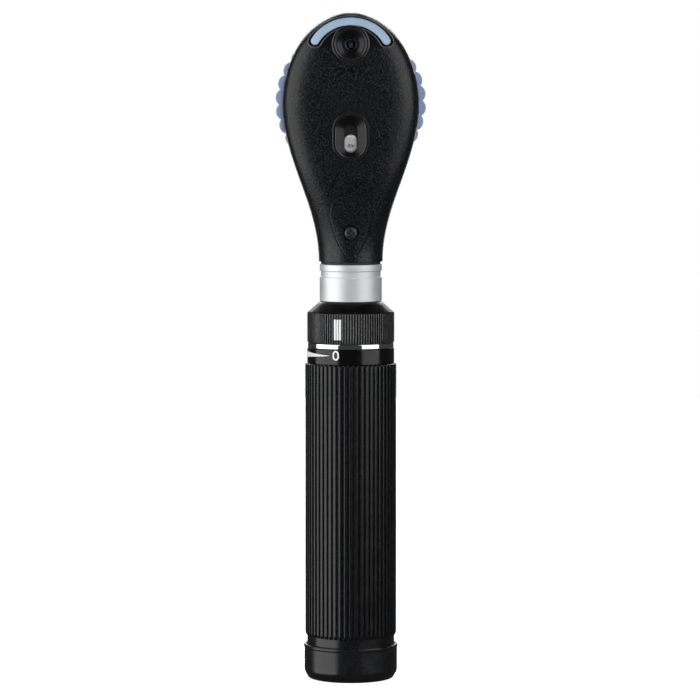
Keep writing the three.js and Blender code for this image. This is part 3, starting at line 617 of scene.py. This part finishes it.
def makeDimmer():
    d = dimmer
    columns = d["flutes"] * d["perFlute"]
    angles = roundAngles(columns)
    fluted = fluteRadius(angles)
    places = angles - math.pi / 2
    slope = (d["radius"] - d["topRadius"]) / (d["top"] - d["edge"])
    loops = [ring(d["bore"], d["bottom"], places), ring(fluted - 0.25, d["bottom"], places),
             ring(fluted - 0.08, d["bottom"] + 0.06, places), ring(fluted, d["bottom"] + 0.25, places)]
    for height in (d["bottom"] + 2, d["edge"] - 2, d["edge"] - 0.5, d["edge"] - 0.25):
        loops.append(ring(fluted, height, places))
    for share in np.linspace(0, 1, 12):
        height = d["edge"] - 0.15 + 0.75 * share
        cone = d["radius"] - slope * np.maximum(0, height - d["edge"])
        rounded = -0.12 * np.log(np.exp(-fluted / 0.12) + np.exp(-cone / 0.12))   # soft edge where they meet
        loops.append(ring(rounded + 0.02, height, places))
    for height in (d["edge"] + 1.2, d["edge"] + 2.4, d["top"] - 0.3):
        loops.append(ring(d["radius"] - slope * (height - d["edge"]), height, places))
    loops += [ring(d["topRadius"], d["top"] - 0.05, places), ring(d["topRadius"] - 0.15, d["top"], places),
              ring(d["mouth"], d["top"], places), ring(d["mouth"], d["top"] - 1.8, places),
              ring(d["bore"], d["edge"] - 2, places)]
    obj = dress(skin("fluted_ring", loops, wrap=True), "knurl", "dimmer", "brightness_ring")
    obj.data.materials.append(finish["crest"])
    obj.data.materials.append(finish["pad"])
    pitch = 2 * math.pi / d["flutes"]
    for face in obj.data.polygons:        # the crests are painted paler, a painted highlight where light catches them; the thumb pads are dull
        x, y, z = face.center / mm
        if not d["bottom"] + 0.1 < z < d["edge"] or math.hypot(x, y) < d["radius"] - 0.2:
            continue
        azimuth = math.atan2(x, -y)
        offCrest = abs((azimuth / pitch + 0.5) % 1 - 0.5)
        fromMiddle = abs((azimuth + math.pi / 2) % math.pi - math.pi / 2)
        if fromMiddle > (d["patch"] / 2 + 0.2) * pitch:
            face.material_index = 2
        elif offCrest < 0.18:
            face.material_index = 1
    return obj


def makeMark():
    # white paint on three neighbouring crests
    d = dimmer
    pitch = 360 / d["flutes"]
    first = round(d["markAt"] / pitch) - d["markBars"] // 2
    bars = []
    for bar in range(d["markBars"]):
        middle = (first + bar) * pitch
        halfWidth = math.degrees(d["markSize"][0] / 2 / d["radius"])
        azimuths = np.linspace(middle - halfWidth, middle + halfWidth, 7)
        radii = fluteRadius(np.radians(azimuths))
        loops = []
        for height in np.linspace(-0.5, 0.5, 6) * d["markSize"][1] + d["markMiddle"]:
            outer = [onCylinder(r + 0.02, a, height) for r, a in zip(radii, azimuths)]
            inner = [onCylinder(r - 0.05, a, height) for r, a in zip(radii[::-1], azimuths[::-1])]
            loops.append(outer + inner)
        bars.append(skin("mark_bar", loops))
    with bpy.context.temp_override(active_object=bars[0], selected_editable_objects=bars):
        bpy.ops.object.join()
    bars[0].name = "index_mark"
    dress(bars[0], "print", "dimmer")


makeDimmer()
makeMark()
print("brightness ring made")


# Handle: the contact pin's spring
pinSpring = {"radius": 1.85, "wire": 0.3, "foot": 108.6, "head": 120.5, "turns": 5, "steps": 48, "sides": 12}


def makePinSpring():
    # a coil of round wire, from its foot in the handle up to its head
    p = pinSpring
    share = np.linspace(0, 1, p["turns"] * p["steps"] + 1)
    turn = 2 * math.pi * p["turns"] * share
    heights = p["foot"] + (p["head"] - p["foot"]) * share
    path = np.column_stack([p["radius"] * np.cos(turn), p["radius"] * np.sin(turn), heights])
    out = np.column_stack([np.cos(turn), np.sin(turn), np.zeros(len(turn))])
    climb = (p["head"] - p["foot"]) / (2 * math.pi * p["turns"])
    along = np.column_stack([-p["radius"] * np.sin(turn), p["radius"] * np.cos(turn),
                             np.full(len(turn), climb)])
    along /= np.linalg.norm(along, axis=1)[:, None]
    over = np.cross(out, along)
    wire = [p["wire"] * (math.cos(a) * out + math.sin(a) * over) for a in roundAngles(p["sides"])]
    loops = [path[i] + [side[i] for side in wire] for i in range(len(path))]
    obj = skin("pin_spring_coil", loops)
    obj.data.materials.append(finish["steel"])
    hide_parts("contact_pin_spring")
    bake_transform(obj)


makePinSpring()
print("pin spring made")


# Neck: silver sleeve and the dark ring above it

neck = {
    "radius": 10.2, "bottom": 124.58, "top": 136.7, "grooveBottom": 132.5, "grooveTop": 134.5,
    "grooveRadius": 9.8, "collar": 8.4, "collarTop": 139.8, "throat": 6.4, "bore": 8.3, "boreTop": 134.2,
    "spacerRadius": 9.75, "spacerTop": 137.55,
}


def makeNeck():
    n = neck
    corners = [
        (n["bore"], n["bottom"]), (n["radius"], n["bottom"], 0.25),
        (n["radius"], n["grooveBottom"], 0.18), (n["grooveRadius"], n["grooveBottom"], 0.12),
        (n["grooveRadius"], n["grooveTop"], 0.12), (n["radius"], n["grooveTop"], 0.18),
        (n["radius"], n["top"], 0.3), (n["collar"], n["top"]), (n["collar"], n["collarTop"]),
        (n["throat"], n["collarTop"]), (n["throat"], n["boreTop"]), (n["bore"], n["boreTop"]),
    ]
    dress(turned("silver_sleeve", corners, 160), "silver", "head", "neck_sleeve")
    spacer = [(n["collar"] + 0.1, n["top"] + 0.03), (n["spacerRadius"], n["top"] + 0.03, 0.1),
              (n["spacerRadius"], n["spacerTop"], 0.1), (n["collar"] + 0.1, n["spacerTop"])]
    dress(turned("neck_gap_ring", spacer, 128), "inner", "head", "neck_spacer")


makeNeck()
print("neck made")


# Head form

head = {
    "bottom": 137.6, "neckRadius": 10.5, "widest": 188.7, "dome": 30.3,
    "halfWidth": 22.3, "halfDepth": 12.0, "squareness": 4.2, "wall": 1.8, "seam": 3.5,
    "taper": (17.7, 18.3),      # how long the outline stays upright at the top and bottom of its taper
    "roundFrom": 140, "roundTo": 170,
}


def taperTable():
    # the outline's taper from the widest line down to the neck, as a smooth curve
    h = head
    s = np.linspace(0, 1, 400)[:, None]
    corners = np.array([[h["halfWidth"], h["widest"]], [h["halfWidth"], h["widest"] - h["taper"][0]],
                        [h["neckRadius"], h["bottom"] + h["taper"][1]], [h["neckRadius"], h["bottom"]]])
    curve = ((1 - s) ** 3 * corners[0] + 3 * (1 - s) ** 2 * s * corners[1]
             + 3 * (1 - s) * s ** 2 * corners[2] + s ** 3 * corners[3])
    return curve[::-1, 1], curve[::-1, 0]


taperHeights, taperWidths = taperTable()


def headSection(z, inset=0.0):
    # half width, half depth and squareness of the head's section at height z
    h = head
    z = np.asarray(z, float)
    rise = np.arccos(np.clip((z - h["widest"]) / (h["dome"] - inset), 0, 1))
    onDome = z > h["widest"]
    t = np.clip((z - h["roundFrom"]) / (h["roundTo"] - h["roundFrom"]), 0, 1)
    square = t * t * (3 - 2 * t)
    width = np.where(onDome, (h["halfWidth"] - inset) * np.sin(rise),
                     np.interp(z, taperHeights, taperWidths) - inset)
    depth = np.where(onDome, (h["halfDepth"] - inset) * np.sin(rise) ** 0.32,
                     h["neckRadius"] + (h["halfDepth"] - h["neckRadius"]) * square - inset)
    squareness = np.where(onDome, h["squareness"], 2 + (h["squareness"] - 2) * square)
    return width, depth, squareness


def headLoop(z, inset, count, height=None):
    width, depth, squareness = headSection(z, inset)
    a = roundAngles(count)
    x = width * np.sign(np.cos(a)) * np.abs(np.cos(a)) ** (2 / squareness)
    y = depth * np.sign(np.sin(a)) * np.abs(np.sin(a)) ** (2 / squareness)
    return np.column_stack([x, y, np.full(count, z if height is None else height)])


def headForm(inset=0.0, fine=True, bottom=None):
    h = head
    count, domeLevels, taperLevels = (240, 60, 110) if fine else (96, 24, 40)
    loops = []
    for rise in np.linspace(0, math.pi / 2, domeLevels)[1:-1]:
        loops.append(headLoop(h["widest"] + (h["dome"] - inset) * math.cos(rise), inset, count))
    for z in np.linspace(h["widest"], h["bottom"], taperLevels):
        loops.append(headLoop(z, inset, count))
    if bottom is not None:
        loops.append(headLoop(h["bottom"], inset, count, bottom))
    top = np.tile([0, 0, h["widest"] + h["dome"] - inset], (count, 1))
    return skin("head_form", [top] + loops, capStart=False)


def frontY(x, z, proud=0.0):
    # how far forward the head's front stands at x and z
    width, depth, squareness = headSection(z)
    share = np.clip(np.abs(x) / width, 0, 1) ** squareness
    return -depth * np.maximum(1 - share, 0) ** (1 / squareness) - proud


def formValue(p):
    width, depth, squareness = headSection(p[:, 2])
    width, depth = np.maximum(width, 1e-3), np.maximum(depth, 1e-3)
    return np.abs(p[:, 0] / width) ** squareness + np.abs(p[:, 1] / depth) ** squareness - 1


def formNormals(p):
    step = 0.01
    slopes = []
    for axis in range(3):
        shift = np.zeros(3)
        shift[axis] = step
        slopes.append(formValue(p + shift) - formValue(p - shift))
    n = np.column_stack(slopes)
    length = np.linalg.norm(n, axis=1)
    top = p[:, 2] > head["widest"] + head["dome"] - 0.06
    n[top] = (0, 0, 1)
    length[top] = 1
    return n / length[:, None]


def smoothOutside(obj):
    # the true slope of the form on the faces that lie in it, so cuts leave no shading marks
    meshData = obj.data
    shadeSoft(obj, 30)
    points = np.empty(len(meshData.vertices) * 3)
    meshData.vertices.foreach_get("co", points)
    points = points.reshape(-1, 3) / mm
    slope = formNormals(points)
    width, depth, squareness = headSection(points[:, 2])
    scale = np.minimum(np.maximum(width, 1e-3), np.maximum(depth, 1e-3))
    onForm = np.abs(formValue(points)) * scale / squareness < 0.04
    onForm |= points[:, 2] > head["widest"] + head["dome"] - 0.1
    corner = np.empty(len(meshData.loops) * 3, np.float32)
    meshData.corner_normals.foreach_get("vector", corner)
    corner = corner.reshape(-1, 3)
    owner = np.empty(len(meshData.loops), int)
    meshData.loops.foreach_get("vertex_index", owner)
    faceNormals = np.empty(len(meshData.polygons) * 3)
    meshData.polygons.foreach_get("normal", faceNormals)
    faceNormals = faceNormals.reshape(-1, 3)
    starts = np.empty(len(meshData.polygons), int)
    totals = np.empty(len(meshData.polygons), int)
    meshData.polygons.foreach_get("loop_start", starts)
    meshData.polygons.foreach_get("loop_total", totals)
    for face, (first, count) in enumerate(zip(starts, totals)):
        members = owner[first:first + count]
        if onForm[members].all() and (slope[members] @ faceNormals[face]).min() > 0.6:
            corner[first:first + count] = slope[members]
    meshData.normals_split_custom_set(corner)


# Outlines on the head's front

wheel = {
    "centre": 189.5, "plane": 3.5, "thickness": 4.8, "lobes": 30, "peak": 24.66, "lobeRadius": 3.06,
    "phase": 7.6, "lensCircle": 18.9, "lensHole": 1.6, "bore": 1.8, "edge": 0.45,
}
sightHeight = wheel["centre"] + wheel["lensCircle"]
brow = {
    "centre": 202.9, "radius": 13.4, "half": 1.375, "reach": 60, "sag": 0.62,
    "channelDepth": 1.2, "pocketDepth": 0.55,
    "surround": 0.85, "crownSurround": 0.35, "crownFrom": 208, "crownTo": 215, "chord": 207.2,
}
cover = {
    "topCentre": 153.5, "topRadius": 6.95, "footCentre": 142.2, "footRadius": 3.0, "sideRadius": 30,
    "screw": 147.1,
}
window = {
    "height": 178.5, "size": (12.2, 16.25), "mouth": (9.4, 14.4), "slot": (4.3, 9.4), "slotHeight": 178,
    "back": -5.8, "funnel": -9.9,
}


def browOutline(grow):
    b = brow
    half = b["half"] + grow
    start, end = 90 - b["reach"], 90 + b["reach"]
    middle = (0, b["centre"])
    tips = {a: arc(middle, b["radius"], a, a, 1)[0] for a in (start, end)}
    line = np.vstack([
        arc(middle, b["radius"] + half, start, end, 90),
        arc(tips[end], half, end, end + 180, 20)[1:-1],
        arc(middle, b["radius"] - half, end, start, 90),
        arc(tips[start], half, start + 180, start + 360, 20)[1:-1],
    ])
    rise = np.maximum(0, line[:, 1] - b["centre"]) / (b["radius"] + b["half"])
    line[:, 1] -= b["sag"] * rise ** 2      # flatter over the crown, where the case leans back
    return line


def channelOutline(extra=0.0):
    # the channel is wide round the strip's ends and close to it over the crown
    b = brow
    wide, close = browOutline(b["surround"] + extra), browOutline(b["crownSurround"] + extra)
    share = np.clip((wide[:, 1] - b["crownFrom"]) / (b["crownTo"] - b["crownFrom"]), 0, 1)[:, None]
    return wide * (1 - share) + close * share


def coverOutline(grow):
    # an egg with its point down: two circles joined by bulging arcs that touch them both
    c = cover
    toTop, toFoot = c["sideRadius"] - c["topRadius"], c["sideRadius"] - c["footRadius"]
    apart = c["topCentre"] - c["footCentre"]
    rise = (toFoot ** 2 - toTop ** 2 + apart ** 2) / (2 * apart)
    side = math.sqrt(toFoot ** 2 - rise ** 2)
    height = c["footCentre"] + rise
    upper = math.degrees(math.atan2(height - c["topCentre"], side))
    lower = math.degrees(math.atan2(rise, side))
    return np.vstack([
        arc((0, c["topCentre"]), c["topRadius"] + grow, -upper, 180 + upper, 80),
        arc((side, height), c["sideRadius"] + grow, 180 + upper, 180 + lower, 26)[1:-1],
        arc((0, c["footCentre"]), c["footRadius"] + grow, 180 + lower, 360 - lower, 40),
        arc((-side, height), c["sideRadius"] + grow, -lower, -upper, 26)[1:-1],
    ])


def obround(width, height, middle, count=33):
    radius = width / 2
    offset = height / 2 - radius
    return np.vstack([
        arc((0, middle + offset), radius, 0, 180, count),
        arc((0, middle - offset), radius, 180, 360, count),
    ])


# Head shells

aperture = {"centre": 3.6, "radius": 9.6, "bottom": 161.5, "thickness": 1.8, "hub": 1.4, "scallops": 24}
screws = {"reach": 8.2, "height": 156, "seat": 7.2, "headRadius": 1.6, "radius": 0.9}


def browCutters():
    far = 40
    channel = prism(channelOutline(), -far, 0)
    boolean(channel, headForm(brow["channelDepth"], fine=False), "DIFFERENCE")
    inner = brow["radius"] - brow["half"] - 0.1
    reach = math.degrees(math.asin((brow["chord"] - brow["centre"]) / inner))
    pocket = prism(arc((0, brow["centre"]), inner, reach, 180 - reach, 60), -far, 0)
    boolean(pocket, headForm(brow["pocketDepth"]), "DIFFERENCE")
    return [channel, pocket]


def makeShells():
    h, w, s = head, wheel, screws
    far = 40
    form = headForm()
    hollow = headForm(h["wall"], fine=False, bottom=h["bottom"] - 2)
    subtract(form, hollow)
    sides = (-1, 1)
    posts = [facingRod(2.0, -9, 9, (side * s["reach"], s["height"]), 24) for side in sides]
    posts.append(facingRod(2.7, -11, 11, (0, w["centre"]), 32))
    for post in posts:
        boolean(form, post, "UNION")
    halfGap = w["thickness"] / 2 + 0.4
    cutters = [
        facingRod(w["peak"] + 0.5, w["plane"] - halfGap, w["plane"] + halfGap, (0, w["centre"]), 180),
        facingRod(6.15, -far, -5, (0, sightHeight), 96),
        prism(obround(window["size"][0] + 0.1, window["size"][1] + 0.1, window["height"]), -far, -5),
        prism(coverOutline(0.16), -far, -5),
        facingRod(4.2, 6, far, (0, sightHeight), 64),
        facingRod(2.65, 6, far, (0, w["centre"] - w["lensCircle"]), 64),
        facingRod(1.6, -9.7, 9.7, (0, w["centre"]), 32),
        turned("cutter", [(0, aperture["bottom"] - 0.4), (aperture["radius"] + 0.4, aperture["bottom"] - 0.4),
                          (aperture["radius"] + 0.4, aperture["bottom"] + aperture["thickness"] + 0.4),
                          (0, aperture["bottom"] + aperture["thickness"] + 0.4)],
               96, (0, aperture["centre"])),
    ]
    for side in sides:
        cutters.append(facingRod(s["headRadius"] + 0.3, s["seat"], far, (side * s["reach"], s["height"]), 40))
        cutters.append(facingRod(s["radius"] + 0.2, -4, far, (side * s["reach"], s["height"]), 24))
    subtract(form, *cutters)
    subtract(form, *browCutters())
    rear = addObject("rear_case", form.data.copy())
    form.name = "front_case"
    halves = ((form, -far, h["seam"] - 0.04, "front_shell"), (rear, h["seam"] + 0.04, far, "rear_shell"))
    for obj, near, behind, node in halves:
        box = prism([(-far, 100), (far, 100), (far, 240), (-far, 240)], near, behind)
        boolean(obj, box, "INTERSECT")
        smoothOutside(obj)
        obj.data.materials.clear()
        obj.data.materials.append(finish["shell"])
        obj.data.materials.append(finish["pocket"])
        dress(obj, "shell", "head", node)
    paintPocketShade(form)


def paintPocketShade(obj):
    # the sunk floor and the channel's walls are smooth and painted darker than the grained face, painted
    # shade in these recesses
    inner = brow["radius"] + brow["half"] + brow["surround"] + 0.02
    for face in obj.data.polygons:
        x, y, z = face.center / mm
        if z < brow["chord"] - 1.2 or y > -2 or math.hypot(x, z - brow["centre"]) > inner:
            continue
        if y > frontY(x, z) + 0.12:
            face.material_index = 1


makeShells()
print("head shells made")


# Blue strip over the brow, and its lip

def makeBrowStrip():
    loops = []
    for inset, lift in ((0.1, -1.1), (0, -1.0), (0, -0.22), (0.05, -0.1), (0.15, -0.02), (0.3, 0.03),
                        (0.6, 0.07), (1.0, 0.1), (1.3, 0.11)):
        line = browOutline(-inset)
        y = frontY(line[:, 0], line[:, 1], lift)
        loops.append(np.column_stack([line[:, 0], y, line[:, 1]]))
    dress(skin("brow_band", loops), "strip", "head", "brow_strip")


def makeLip(name, outline, radius, lift, material):
    # a fine raised bead that follows an outline on the head's front
    y = frontY(outline[:, 0], outline[:, 1], lift)
    path = np.column_stack([outline[:, 0], y, outline[:, 1]])
    along = np.roll(path, -1, 0) - np.roll(path, 1, 0)
    along /= np.linalg.norm(along, axis=1)[:, None]
    out = formNormals(path)
    side = np.cross(along, out)
    side /= np.linalg.norm(side, axis=1)[:, None]
    out = np.cross(side, along)
    loops = [path + radius * (math.cos(a) * out + math.sin(a) * side) for a in roundAngles(10)]
    obj = skin(name, loops, wrap=True)
    return dress(obj, material, "head")


makeBrowStrip()
makeLip("brow_channel_lip", channelOutline(0.16), 0.24, -0.02, "lip")
print("brow strip made")


# Sight hole and light window

def paintThroatShade(obj, isInside):
    # painted shade in the throat of a bezel: it takes the darker pocket finish, duller than its rims
    obj.data.materials.append(finish["pocket"])
    for face in obj.data.polygons:
        if isInside(*face.center / mm):
            face.material_index = 1


def makeSightBezel():
    corners = [
        (1.75, -7.4), (1.75, -10.2, 0.15), (2.15, -10.3, 0.1), (2.3, -9.75, 0.1), (2.55, -9.75, 0.12),
        (4.45, -11.05, 0.2), (4.75, -10.95, 0.1), (4.95, -11.5, 0.28), (5.4, -11.5, 0.28), (5.5, -11.0, 0.08),
        (5.65, -11.0, 0.08), (5.72, -11.85, 0.2), (6.15, -11.8, 0.3), (6.15, -7.4),
    ]
    mouth = turnedFacing("sight_mouth", corners, (0, sightHeight), 128, 5)
    dress(mouth, "rim", "head", "sight_bezel")
    paintThroatShade(mouth, lambda x, y, z: math.hypot(x, z - sightHeight) < 4.6)


def makeWindow():
    w = window
    rim = ((0.0, w["back"]), (0.0, -11.7), (0.04, -12.05), (0.14, -12.3), (0.3, -12.46), (0.48, -12.46),
           (0.64, -12.3), (0.72, -12.0), (0.74, -11.7), (0.9, -11.7), (0.92, -11.9), (1.0, -12.1),
           (1.12, -12.2), (1.26, -12.14), (1.38, -11.95), (1.4, -11.7))
    loops = []
    for inset, y in rim:
        line = obround(w["size"][0] - 2 * inset, w["size"][1] - 2 * inset, w["height"])
        loops.append(np.column_stack([line[:, 0], np.full(len(line), y), line[:, 1]]))
    start, end = obround(*w["mouth"], w["height"]), obround(*w["slot"], w["slotHeight"])
    for share in (0.0, 0.03, 0.5, 0.95, 0.98, 1.0):
        line = start + (end - start) * share
        y = -11.6 + (w["funnel"] + 11.6) * share
        loops.append(np.column_stack([line[:, 0], np.full(len(line), y), line[:, 1]]))
    loops.append(np.column_stack([end[:, 0], np.full(len(end), w["funnel"] + 0.3), end[:, 1]]))
    loops.append(np.column_stack([end[:, 0], np.full(len(end), w["back"]), end[:, 1]]))
    bezel = dress(skin("light_window", loops, wrap=True), "rim", "head", "window_bezel")
    paintThroatShade(bezel, lambda x, y, z: y > -11.59 and abs(x) < w["mouth"][0] / 2)


mirrorSlip = {"span": (173.5, 178.4), "plane": -3, "width": 4.1, "thickness": 0.8, "edge": 0.12}


def makeMirror():
    # a silvered slip with rounded ends, leaning forward to throw the beam out of the window
    m = mirrorSlip
    low, high = m["span"]
    slant = math.sqrt(0.5)
    length = (high - low) / slant
    loops = []
    for inset, depth in ((m["edge"], 0), (0, m["edge"]), (0, m["thickness"])):
        line = obround(m["width"] - 2 * inset, length - 2 * inset, 0)
        loops.append([(x, m["plane"] + (depth - along) * slant, (low + high) / 2 + (depth + along) * slant)
                      for x, along in line])
    dress(skin("silvered_slip", loops), "mirror", "head", "mirror")


makeSightBezel()
makeWindow()
makeMirror()
print("sight mouth and light window made")


def makeCover():
    # the plate's rings run from its edge in to the screw's sunk seat
    c = cover
    edge = coverOutline(0)
    middle = np.array([0, c["screw"]])
    bearing = np.arctan2(edge[:, 1] - middle[1], edge[:, 0])
    seat = middle + 2.55 * np.column_stack([np.cos(bearing), np.sin(bearing)])
    loops = []
    for inset, lift in ((0.08, -1.5), (0, -1.4), (0, -0.2), (0.04, -0.09), (0.12, -0.02), (0.25, 0.0)):
        line = coverOutline(-inset)
        loops.append(np.column_stack([line[:, 0], frontY(line[:, 0], line[:, 1], lift), line[:, 1]]))
    inner = coverOutline(-0.25)
    for share in (0.1, 0.25, 0.4, 0.55, 0.7, 0.82, 0.92, 0.97, 1.0):
        line = inner + (seat - inner) * share
        loops.append(np.column_stack([line[:, 0], frontY(line[:, 0], line[:, 1]), line[:, 1]]))
    for radius, y in ((2.5, -10.45), (2.45, -9.75), (2.3, -9.6), (1.2, -9.6), (1.2, -9.2)):
        line = middle + radius * np.column_stack([np.cos(bearing), np.sin(bearing)])
        loops.append(np.column_stack([line[:, 0], np.full(len(line), y), line[:, 1]]))
    obj = skin("neck_plate", loops, wrap=True)
    dress(obj, "shell", "head", "neck_cover")


def makeCrossScrew():
    corners = [(0, -10.45), (1.3, -10.4, 0.4), (2.05, -10.1, 0.25), (2.05, -9.75, 0.1), (0.95, -9.7),
               (0.95, -6.6, 0.2), (0.6, -6.4), (0, -6.4)]
    obj = turnedFacing("cross_screw", corners, (0, cover["screw"]), 64)
    crossCut(obj, [0, cover["screw"]], 1.35, 0.33, -12, -9.95)
    dress(obj, "blackSteel", "head", "neck_cover_screw")


makeCover()
makeCrossScrew()
print("neck plate made")


# Lens wheel

def lobeRadiusAt(angles, inset):
    w = wheel
    pitch = 2 * math.pi / w["lobes"]
    off = (angles - math.radians(w["phase"]) + pitch / 2) % pitch - pitch / 2
    centre = w["peak"] - w["lobeRadius"]
    return centre * np.cos(off) + np.sqrt((w["lobeRadius"] - inset) ** 2 - (centre * np.sin(off)) ** 2)


def makeWheel():
    w = wheel
    pitch = 2 * math.pi / w["lobes"]
    columns = np.concatenate([np.linspace(-0.5, 0.5, 15)[:-1] + lobe for lobe in range(w["lobes"])])
    angles = columns * pitch + math.radians(w["phase"])
    half = w["thickness"] / 2
    loops = [facingRing(w["bore"], w["plane"] - half, angles, (0, w["centre"]))]
    loops.append(facingRing(w["peak"] - 5, w["plane"] - half, angles, (0, w["centre"])))
    rounding = [(w["edge"] * (1 - math.sin(a)), -half + w["edge"] * (1 - math.cos(a)))
                for a in np.linspace(0, math.pi / 2, 5)]
    sideLoops = rounding + [(0, -half + 1.2), (0, half - 1.2)] + [(i, -y) for i, y in reversed(rounding)]
    for inset, y in sideLoops:
        loops.append(facingRing(lobeRadiusAt(angles, inset), w["plane"] + y, angles, (0, w["centre"])))
    loops.append(facingRing(w["peak"] - 5, w["plane"] + half, angles, (0, w["centre"])))
    loops.append(facingRing(w["bore"], w["plane"] + half, angles, (0, w["centre"])))
    obj = skin("scalloped_wheel", loops, wrap=True)
    lenses = []
    for station in range(w["lobes"]):
        a = math.pi / 2 + station * pitch
        place = (w["lensCircle"] * math.cos(a), w["centre"] + w["lensCircle"] * math.sin(a))
        subtract(obj, facingRod(w["lensHole"], w["plane"] - 4, w["plane"] + 4, place, 24))
        bulge = 0.25 + 0.5 * abs(station - w["lobes"] / 2) / w["lobes"]
        face = [(0, 0.6 + bulge), (0.9, 0.55 + bulge * 0.6), (1.62, 0.5)]
        lens = [(r, w["plane"] - y) for r, y in face] + [(r, w["plane"] + y) for r, y in reversed(face)]
        lenses.append(turnedFacing("wheel_lens", lens, place, 24))
    shadeSoft(obj)
    with bpy.context.temp_override(active_object=lenses[0], selected_editable_objects=lenses):
        bpy.ops.object.join()
    lenses[0].name = "wheel_lenses"
    dress(obj, "wheel", "wheel", "lens_wheel")
    dress(lenses[0], "lensShade", "wheel")


makeWheel()
print("lens wheel made")


# Examiner's side

def makeRear():
    eyepiece = [(1.8, 7.0), (4.1, 7.0), (4.1, 11.4, 0.1), (5.4, 11.9, 0.3), (5.4, 12.9, 0.25),
                (4.7, 13.2, 0.25),
                (2.1, 11.2, 0.1), (1.8, 11.0, 0.05)]
    dress(turnedFacing("eyepiece", eyepiece, (0, sightHeight), 96), "gloss", "head", "rear_eyepiece")
    rest = [(5.8, 6.0), (8.2, 6.0), (8.2, 13.4, 0.9), (7.3, 14.4, 0.8), (6.6, 14.4, 0.5), (5.8, 13.2, 0.5)]
    pad = turnedFacing("brow_pad", rest, (0, sightHeight), 96, 6)
    boolean(pad, headForm(-0.05), "DIFFERENCE")
    shadeSoft(pad)
    dress(pad, "rubber", "head", "brow_rest")
    glassCorners = [(0, 10.0), (2.6, 10.0), (2.6, 11.6, 0.2), (1.6, 12.05, 0.6), (0, 12.2)]
    middle = (0, wheel["centre"] - wheel["lensCircle"])
    dress(turnedFacing("power_window", glassCorners, middle, 64), "glass", "head", "dioptre_window")
    s = screws
    for side, word in ((-1, "left"), (1, "right")):
        corners = [(0, -3.6), (s["radius"], -3.6, 0.2), (s["radius"], s["seat"] + 0.2),
                   (s["headRadius"], s["seat"] + 0.2, 0.1), (s["headRadius"], s["seat"] + 1.3, 0.3),
                   (0, s["seat"] + 1.35)]
        place = (side * s["reach"], s["height"])
        screw = turnedFacing("case_screw_" + word, corners, place, 48)
        crossCut(screw, place, 1.0, 0.22, s["seat"] + 0.8, s["seat"] + 3)
        dress(screw, "blackSteel", "head", "shell_screw_" + word)


def makeApertureWheel():
    a = aperture
    count = a["scallops"] * 16
    angles = roundAngles(count)
    rim = a["radius"] - 0.4 * (0.5 - 0.5 * np.cos(angles * a["scallops"])) ** 3
    bottom, top = a["bottom"], a["bottom"] + a["thickness"]
    offset = [0, a["centre"], 0]
    loops = [ring(a["hub"], bottom, angles) + offset, ring(rim - 0.25, bottom, angles) + offset,
             ring(rim, bottom + 0.25, angles) + offset, ring(rim, top - 0.25, angles) + offset,
             ring(rim - 0.25, top, angles) + offset, ring(a["hub"], top, angles) + offset]
    obj = skin("aperture_disc", loops, wrap=True)
    reach = a["centre"] + 3
    for stop, radius in enumerate((1.6, 1.3, 1.0, 0.7, 1.6, 1.6)):
        turn = -math.pi / 2 + stop * math.pi / 3
        place = (reach * math.cos(turn), a["centre"] + reach * math.sin(turn))
        hole = [(0, bottom - 1), (radius, bottom - 1), (radius, top + 1), (0, top + 1)]
        subtract(obj, turned("cutter", hole, 32, place))
    shadeSoft(obj)
    dress(obj, "inner", "aperture", "aperture_wheel")


makeRear()
makeApertureWheel()
print("examiner's side made")


# Pieces carried over as they are

carried = {
    "jacket": ["battery_lower", "battery_upper"],
    "steel": ["cap_contact_plate", "cap_spring", "head_fitting", "wheel_axle",
              "aperture_axle", "detent_leaf"],
    "brass": ["battery_contact", "contact_pin", "rheostat_wiper", "lamp_contact", "lamp_base"],
    "inner": ["contact_insulator", "lamp_holder", "optics_chassis", "optics_tube", "mirror_mount"],
    "board": ["rheostat_track"],
    "glass": ["condenser_lens", "objective_lens", "lamp_bulb"],
}
for material, names in carried.items():
    for name in names:
        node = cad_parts[name]
        node.data.materials.clear()
        node.data.materials.append(finish[material])
print("carried-over pieces finished")


# Floor and backdrop

def makeStage():
    # a pale floor that carries a little light of its own, under a plain white backdrop
    floorMat = newMaterial("paleFloor", (0.8, 0.8, 0.8), 0.6)
    varyRoughness(floorMat, noiseAt(floorMat, 40, 3), 0.55, 0.7)
    shaderOf(floorMat).inputs["Emission Color"].default_value = (1, 1, 1, 1)
    shaderOf(floorMat).inputs["Emission Strength"].default_value = studio["floorGlow"]
    around = roundAngles(96)
    floor = skin("floor", [ring(studio["floorRadius"], h, around) for h in (-1, 0)])
    floor.data.materials.append(floorMat)
    glow = bpy.data.materials.new("backdropGlow")
    glow.use_nodes = True
    tree = glow.node_tree
    tree.nodes.clear()
    light = tree.nodes.new("ShaderNodeEmission")
    out = tree.nodes.new("ShaderNodeOutputMaterial")
    tree.links.new(light.outputs["Emission"], out.inputs["Surface"])
    radius = studio["backdropRadius"]
    wall = skin("backdrop", [ring(radius * math.cos(a), radius * math.sin(a), around)
                             for a in np.radians((-89, -60, -30, 0, 30, 60, 89))])
    wall.data.materials.append(glow)
    for piece in (floor, wall):
        for ray in ("visible_diffuse", "visible_glossy", "visible_transmission", "visible_shadow"):
            setattr(piece, ray, False)


makeStage()
